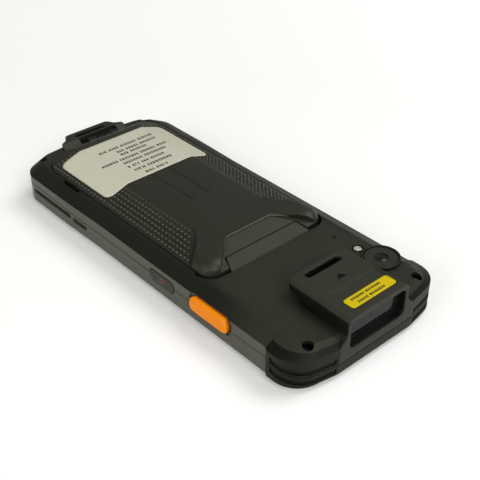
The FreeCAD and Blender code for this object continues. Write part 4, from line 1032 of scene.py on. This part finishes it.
engine_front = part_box("scan_engine")[1].y
lens_low, lens_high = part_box("scan_lenses")
lens_z = (lens_low.z + lens_high.z) / 2
lens_half = (lens_high.z - lens_low.z) / 2
for side, label in ((1, "left"), (-1, "right")):
    x = (lens_high.x - lens_half) * side
    rim = [(lens_half + 0.7 * MM, 0), (lens_half + 0.7 * MM, 0.5 * MM), (lens_half + 0.45 * MM, 0.75 * MM),
           (lens_half + 0.1 * MM, 0.75 * MM), (lens_half + 0.05 * MM, 0.2 * MM)]
    points, faces = turned_along(x, lens_z, engine_front, rim)
    sharp(piece("engine_rim_" + label, points, faces[:-1], "root", "module_black", finish["module"]))

AIM_DROP = 3.6 * MM
aim_points = []
for depth, grow in ((0.0, 0.25), (0.45, 0.25), (0.45, 0.0), (0.2, -0.05)):
    for x, z in ((-2.6 - grow, -0.9 - grow), (2.6 + grow, -0.9 - grow), (1.6 + grow, 1.0 + grow),
                 (-1.6 - grow, 1.0 + grow)):
        aim_points.append((x * MM, engine_front + depth * MM, lens_z - AIM_DROP + z * MM))
aim_faces = walls(0, 4, 4) + [(12, 13, 14, 15)]
piece("aiming_window", aim_points, aim_faces, "root", "lens_glass", finish["lens"], smooth=False)


# %% [markdown]
# ## Table, light and camera
# The photograph has a near-white table with a soft shadow. The table is white paint that glows
# a little for the camera alone, so the light on the object stays at a plain level. Three large
# soft lamps stand beyond the head, above the object and beside its trigger key. The camera has
# the photograph's lens and place.

# %% Table
GLOW_NEAR = 0.15
GLOW_FAR = 1.6
GLOW_STRENGTH = (0.13, 0.85)


def table_material():
    """White paint that glows a little more with distance, for rays that the camera follows."""
    material = bpy.data.materials.new("table")
    material.use_nodes = True
    tree = material.node_tree
    tree.nodes.clear()
    rays = tree.nodes.new("ShaderNodeLightPath")
    seen = math_node(tree, "MAXIMUM", rays.outputs["Is Camera Ray"], rays.outputs["Is Glossy Ray"])
    seen = math_node(tree, "MAXIMUM", seen, rays.outputs["Is Transmission Ray"])
    away = tree.nodes.new("ShaderNodeVectorMath")
    away.operation = "LENGTH"
    tree.links.new(place_of(tree), away.inputs[0])
    near_glow, far_glow = GLOW_STRENGTH
    far = add(tree, "ShaderNodeMapRange", Value=away.outputs["Value"], From_Min=GLOW_NEAR,
              From_Max=GLOW_FAR, To_Min=near_glow, To_Max=far_glow)
    paint = add(tree, "ShaderNodeBsdfDiffuse", Color=(0.80, 0.80, 0.79, 1))
    glow = both(tree, seen, far.outputs[0])
    light = add(tree, "ShaderNodeEmission", Color=(1, 1, 0.985, 1), Strength=glow)
    sum_node = tree.nodes.new("ShaderNodeAddShader")
    for socket, part in zip(sum_node.inputs, (paint, light)):
        tree.links.new(part.outputs[0], socket)
    out = tree.nodes.new("ShaderNodeOutputMaterial")
    tree.links.new(sum_node.outputs[0], out.inputs["Surface"])
    return material


TABLE_HALF = 3.0
table_mesh = bpy.data.meshes.new("table")
corners = [(sx * TABLE_HALF, sy * TABLE_HALF, 0) for sx, sy in ((-1, -1), (1, -1), (1, 1), (-1, 1))]
table_mesh.from_pydata(corners, [], [(0, 1, 2, 3)])
table_mesh.materials.append(table_material())
table = bpy.data.objects.new("table", table_mesh)
bpy.context.scene.collection.objects.link(table)


# %% Lights
LAMPS = {
    "head_side_lamp": ((0.25, 0.95, 0.75), (0.7, 0.5), 7.0),
    "top_lamp": ((-0.62, 0.24, 0.98), (0.7, 0.7), 7.5),
    "key_side_lamp": ((0.95, 0.10, 0.45), (0.6, 0.6), 4.5),
}
ROOM_COLOUR = (1.0, 1.0, 0.96, 1)
ROOM_STRENGTH = 0.29
SEEN_STRENGTH = 0.97


def stand(name, data, place, aim):
    """Put a lamp or a camera in its place, turned to a point."""
    obj = bpy.data.objects.new(name, data)
    obj.location = place
    obj.rotation_euler = (Vector(aim) - Vector(place)).to_track_quat("-Z", "Y").to_euler()
    bpy.context.scene.collection.objects.link(obj)
    return obj


for name, (place, size, power) in LAMPS.items():
    lamp = bpy.data.lights.new(name, "AREA")
    lamp.shape = "RECTANGLE"
    lamp.size, lamp.size_y = size
    lamp.energy = power
    stand(name, lamp, place, (0, 0, 0))

world = bpy.data.worlds.new("room")
bpy.context.scene.world = world
world.use_nodes = True
room = world.node_tree
background = room.nodes["Background"]
background.inputs["Color"].default_value = ROOM_COLOUR
rays = room.nodes.new("ShaderNodeLightPath")
strength = spread(room, rays.outputs["Is Camera Ray"], ROOM_STRENGTH, SEEN_STRENGTH)
room.links.new(strength, background.inputs["Strength"])

# %% Camera
LENS_MM = 67.75
CAMERA_PLACE = Vector((179.5, 217.2, 200.8)) * MM
CAMERA_AIM = Vector((-10.4, 4.83, 0.0)) * MM
view = bpy.data.cameras.new("camera")
view.lens = LENS_MM
view.sensor_width = 36.0
view.clip_start = 0.01
bpy.context.scene.camera = stand("camera", view, CAMERA_PLACE, CAMERA_AIM)
bpy.context.scene.view_settings.view_transform = "Standard"
